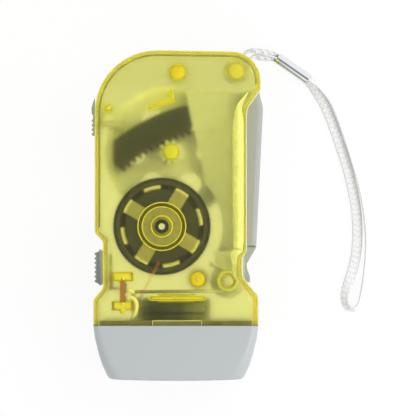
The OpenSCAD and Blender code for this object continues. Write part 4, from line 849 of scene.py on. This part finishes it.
# The wall's middle is painted bright yellow, as painted glow for the light it scatters, and its inner face is
# a painted dark line of shade on the left and at the far end
painted_in_plastic("wall_core_glow", [bead(along_wall(0.75, 27.2), 0.4)], PAINTED_CORE_GLOW)
crease_shade_line = along_wall(-0.05, 28.1)
x, y, _ = crease_shade_line.T
painted_in_plastic("wall_crease_shade", [bead(crease_shade_line[(y > -4.5) & ((x < 19) | (y > 39.5))], 0.13)], CREASE_SHADE)
# Under the ends of the solid bosses a painted orange glow stands for the light through the thick plastic
BOSS_GLOWS = [(0.5, 44.0, 2.15), (6.8, -20.1, 2.3)]
painted_in_plastic("boss_end_glows", [drop((x, y, 26.9), (0, 0, 1), r, 0.7, steps=32) for x, y, r in BOSS_GLOWS], BOSS_GLOW)
# Other boss ends and hole rims get painted pale highlights, the smallest ones painted glints: place, radius,
# height and kind
HIGHLIGHT_MARKS = [
    (18.6, 44.3, 2.4, 26.9, 0), (*DRIVE, 2.2, 26.9, 1), (*PIVOT, 2.4, 26.7, 0), (*PIVOT, 1.7, 27.5, 2),
    (-20.9, 32.8, 0.95, 27.2, 1), (6.8, -20.1, 0.4, 27.9, 3), (-16.3, -20.0, 0.45, 28, 3),
    (-16.3, -27.6, 0.45, 28, 3),
]
highlight_shapes = [drop((x, y, z), (0, 0, 1), r, 0.75, steps=32) for x, y, r, z, _ in HIGHLIGHT_MARKS]
painted_in_plastic(
    "boss_end_highlights", highlight_shapes, PALE_GLOW_YELLOW, others=[DEEP_GLOW_YELLOW, PALE_GLOW_GREY, PAINTED_GLEAM],
    kinds=[mark[-1] for mark, (_, faces) in zip(HIGHLIGHT_MARKS, highlight_shapes) for _ in faces])
# Round the pivot a ring of painted olive shade
painted_in_plastic("pivot_shade_ring", [bead(circle_line(PIVOT, 2.85, 27.2), 0.7)], OLIVE_SHADE)
# The middles of the ribs are painted brighter than their sides, as painted glow for the light they scatter
CORE_Z, GUIDE_Z = 27.7, 26.9
middle_stop = [round_pivot(STOP_R + STOP_T / 2, a) for a in np.linspace(STOP_TO - 0.5, STOP_FROM + 0.6, 8)]
middle_arm = [round_pivot(r, STOP_FROM + 0.7) for r in (STOP_R + 0.7, STOP_R + STOP_ARM - 0.6)]
rest_middle = [(x, REST_BAR[2]) for x in REST_BAR[:2]]
guides = [[(x, y) for x in (-19.0, -18.6, -14.4, -14.0)] for y in (-19.25, -28.35)]
painted_in_plastic("rib_core_glows", [
    bead(straight(middle_stop, CORE_Z), 0.5), bead(straight(middle_arm, CORE_Z), 0.5),
    bead(straight(rest_middle, CORE_Z), 0.45), *[bead(straight(guide, GUIDE_Z), 1.35) for guide in guides],
    drop((-16.4, -30.0, 27.2), (0, 0, 1), 0.9, 0.8),
], PAINTED_CORE_GLOW)

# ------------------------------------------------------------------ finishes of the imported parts
FINISHES = {
    "front_cover": FRONT_CASING, "rear_cover": REAR_CASING, "head_bezel": GREY, "lens": CLEAR,
    "reflector": MIRROR, "leds": RESIN, "led_board": BOARD, "button_cells": SLEEVE, "cell_cradle": CRADLE,
    "cell_contacts": CELL, "lever": LEVER_GREY, "sector_gear": SECTOR, "pivot_pin": PIN,
    "drive_pinion": NYLON, "drive_gear": NYLON, "drive_axle": STEEL, "flywheel": CUP, "magnet_ring": MAGNET,
    "rotor_shaft": SHAFT, "rotor_pinion": NYLON, "front_bush": BRONZE, "rear_bush": BRONZE,
    "stator_front_plate": ZINC, "stator_rear_plate": ZINC, "coil_bobbin": BLACK, "switch_slider": SLIDER,
    "switch_contact": COPPER, "switch_board": BOARD, "lock_slider": SLIDER, "case_screws": SCREW,
    "strap_crimp": CHROME,
}
for name, finish in FINISHES.items():
    nodes[name].data.materials.clear()
    nodes[name].data.materials.append(finish)

# ------------------------------------------------------------------ floor, world and lamps
FLOOR_HALF = 1.5
FLOOR_Z = -0.00005
FLOOR_WHITE = 0.95
# How much of the floor's look is plain white where the camera sees it; the rest keeps the shadow
CAMERA_LIFT = 0.92
WORLD_LEVEL = 0.8
WHITE = (1, 1, 1)

floor_mesh = bpy.data.meshes.new("floor")
corners = [(x * FLOOR_HALF, y * FLOOR_HALF, FLOOR_Z) for x, y in ((-1, -1), (1, -1), (1, 1), (-1, 1))]
floor_mesh.from_pydata(corners, [], [(0, 1, 2, 3)])
floor = bpy.data.objects.new("floor", floor_mesh)
scene.collection.objects.link(floor)
n = Nodes("floor_white")
paper = n.plain("ShaderNodeBsdfDiffuse", (FLOOR_WHITE, FLOOR_WHITE, FLOOR_WHITE))
shine = n.plain("ShaderNodeEmission", WHITE, 1.0)
floor.data.materials.append(n.done(n.mix(n.math("MULTIPLY", n.in_view(), CAMERA_LIFT), paper, shine)))

# Straight above hangs the dark camera stand; what gleams sees it, the open background stays white
n = Nodes("studio", world=True)
stand = n.plain("ShaderNodeBackground", (0.25, 0.25, 0.26), 1.0)
above = n.ranged(n.split(n.coords["Generated"])["Z"], 0, 1, 0.9, 0.99)
around = n.mix(above, n.plain("ShaderNodeBackground", WHITE, 1.0), stand)
scene.world = n.done(n.mix(n.in_view(), n.plain("ShaderNodeBackground", WHITE, WORLD_LEVEL), around))


LIT_PLACE = (0, 0, 0.01)


def lamp(name, place, size, power):
    """A large soft lamp that points at the middle of the object."""
    light = bpy.data.lights.new(name, "AREA")
    light.shape = "DISK"
    light.size = size
    light.energy = power
    made = bpy.data.objects.new(name, light)
    made.location = place
    direction = np.array(LIT_PLACE) - np.array(place)
    made.rotation_mode = "QUATERNION"
    made.rotation_quaternion = Vector(direction).to_track_quat("-Z", "Y")
    scene.collection.objects.link(made)
    made.visible_transmission = False


# Places and sizes in metres, powers in watts
lamp("key_lamp", (0.6, 0.35, 0.9), 0.5, 2.6)
lamp("side_lamp", (0.36, -0.2, 0.32), 0.2, 0.55)
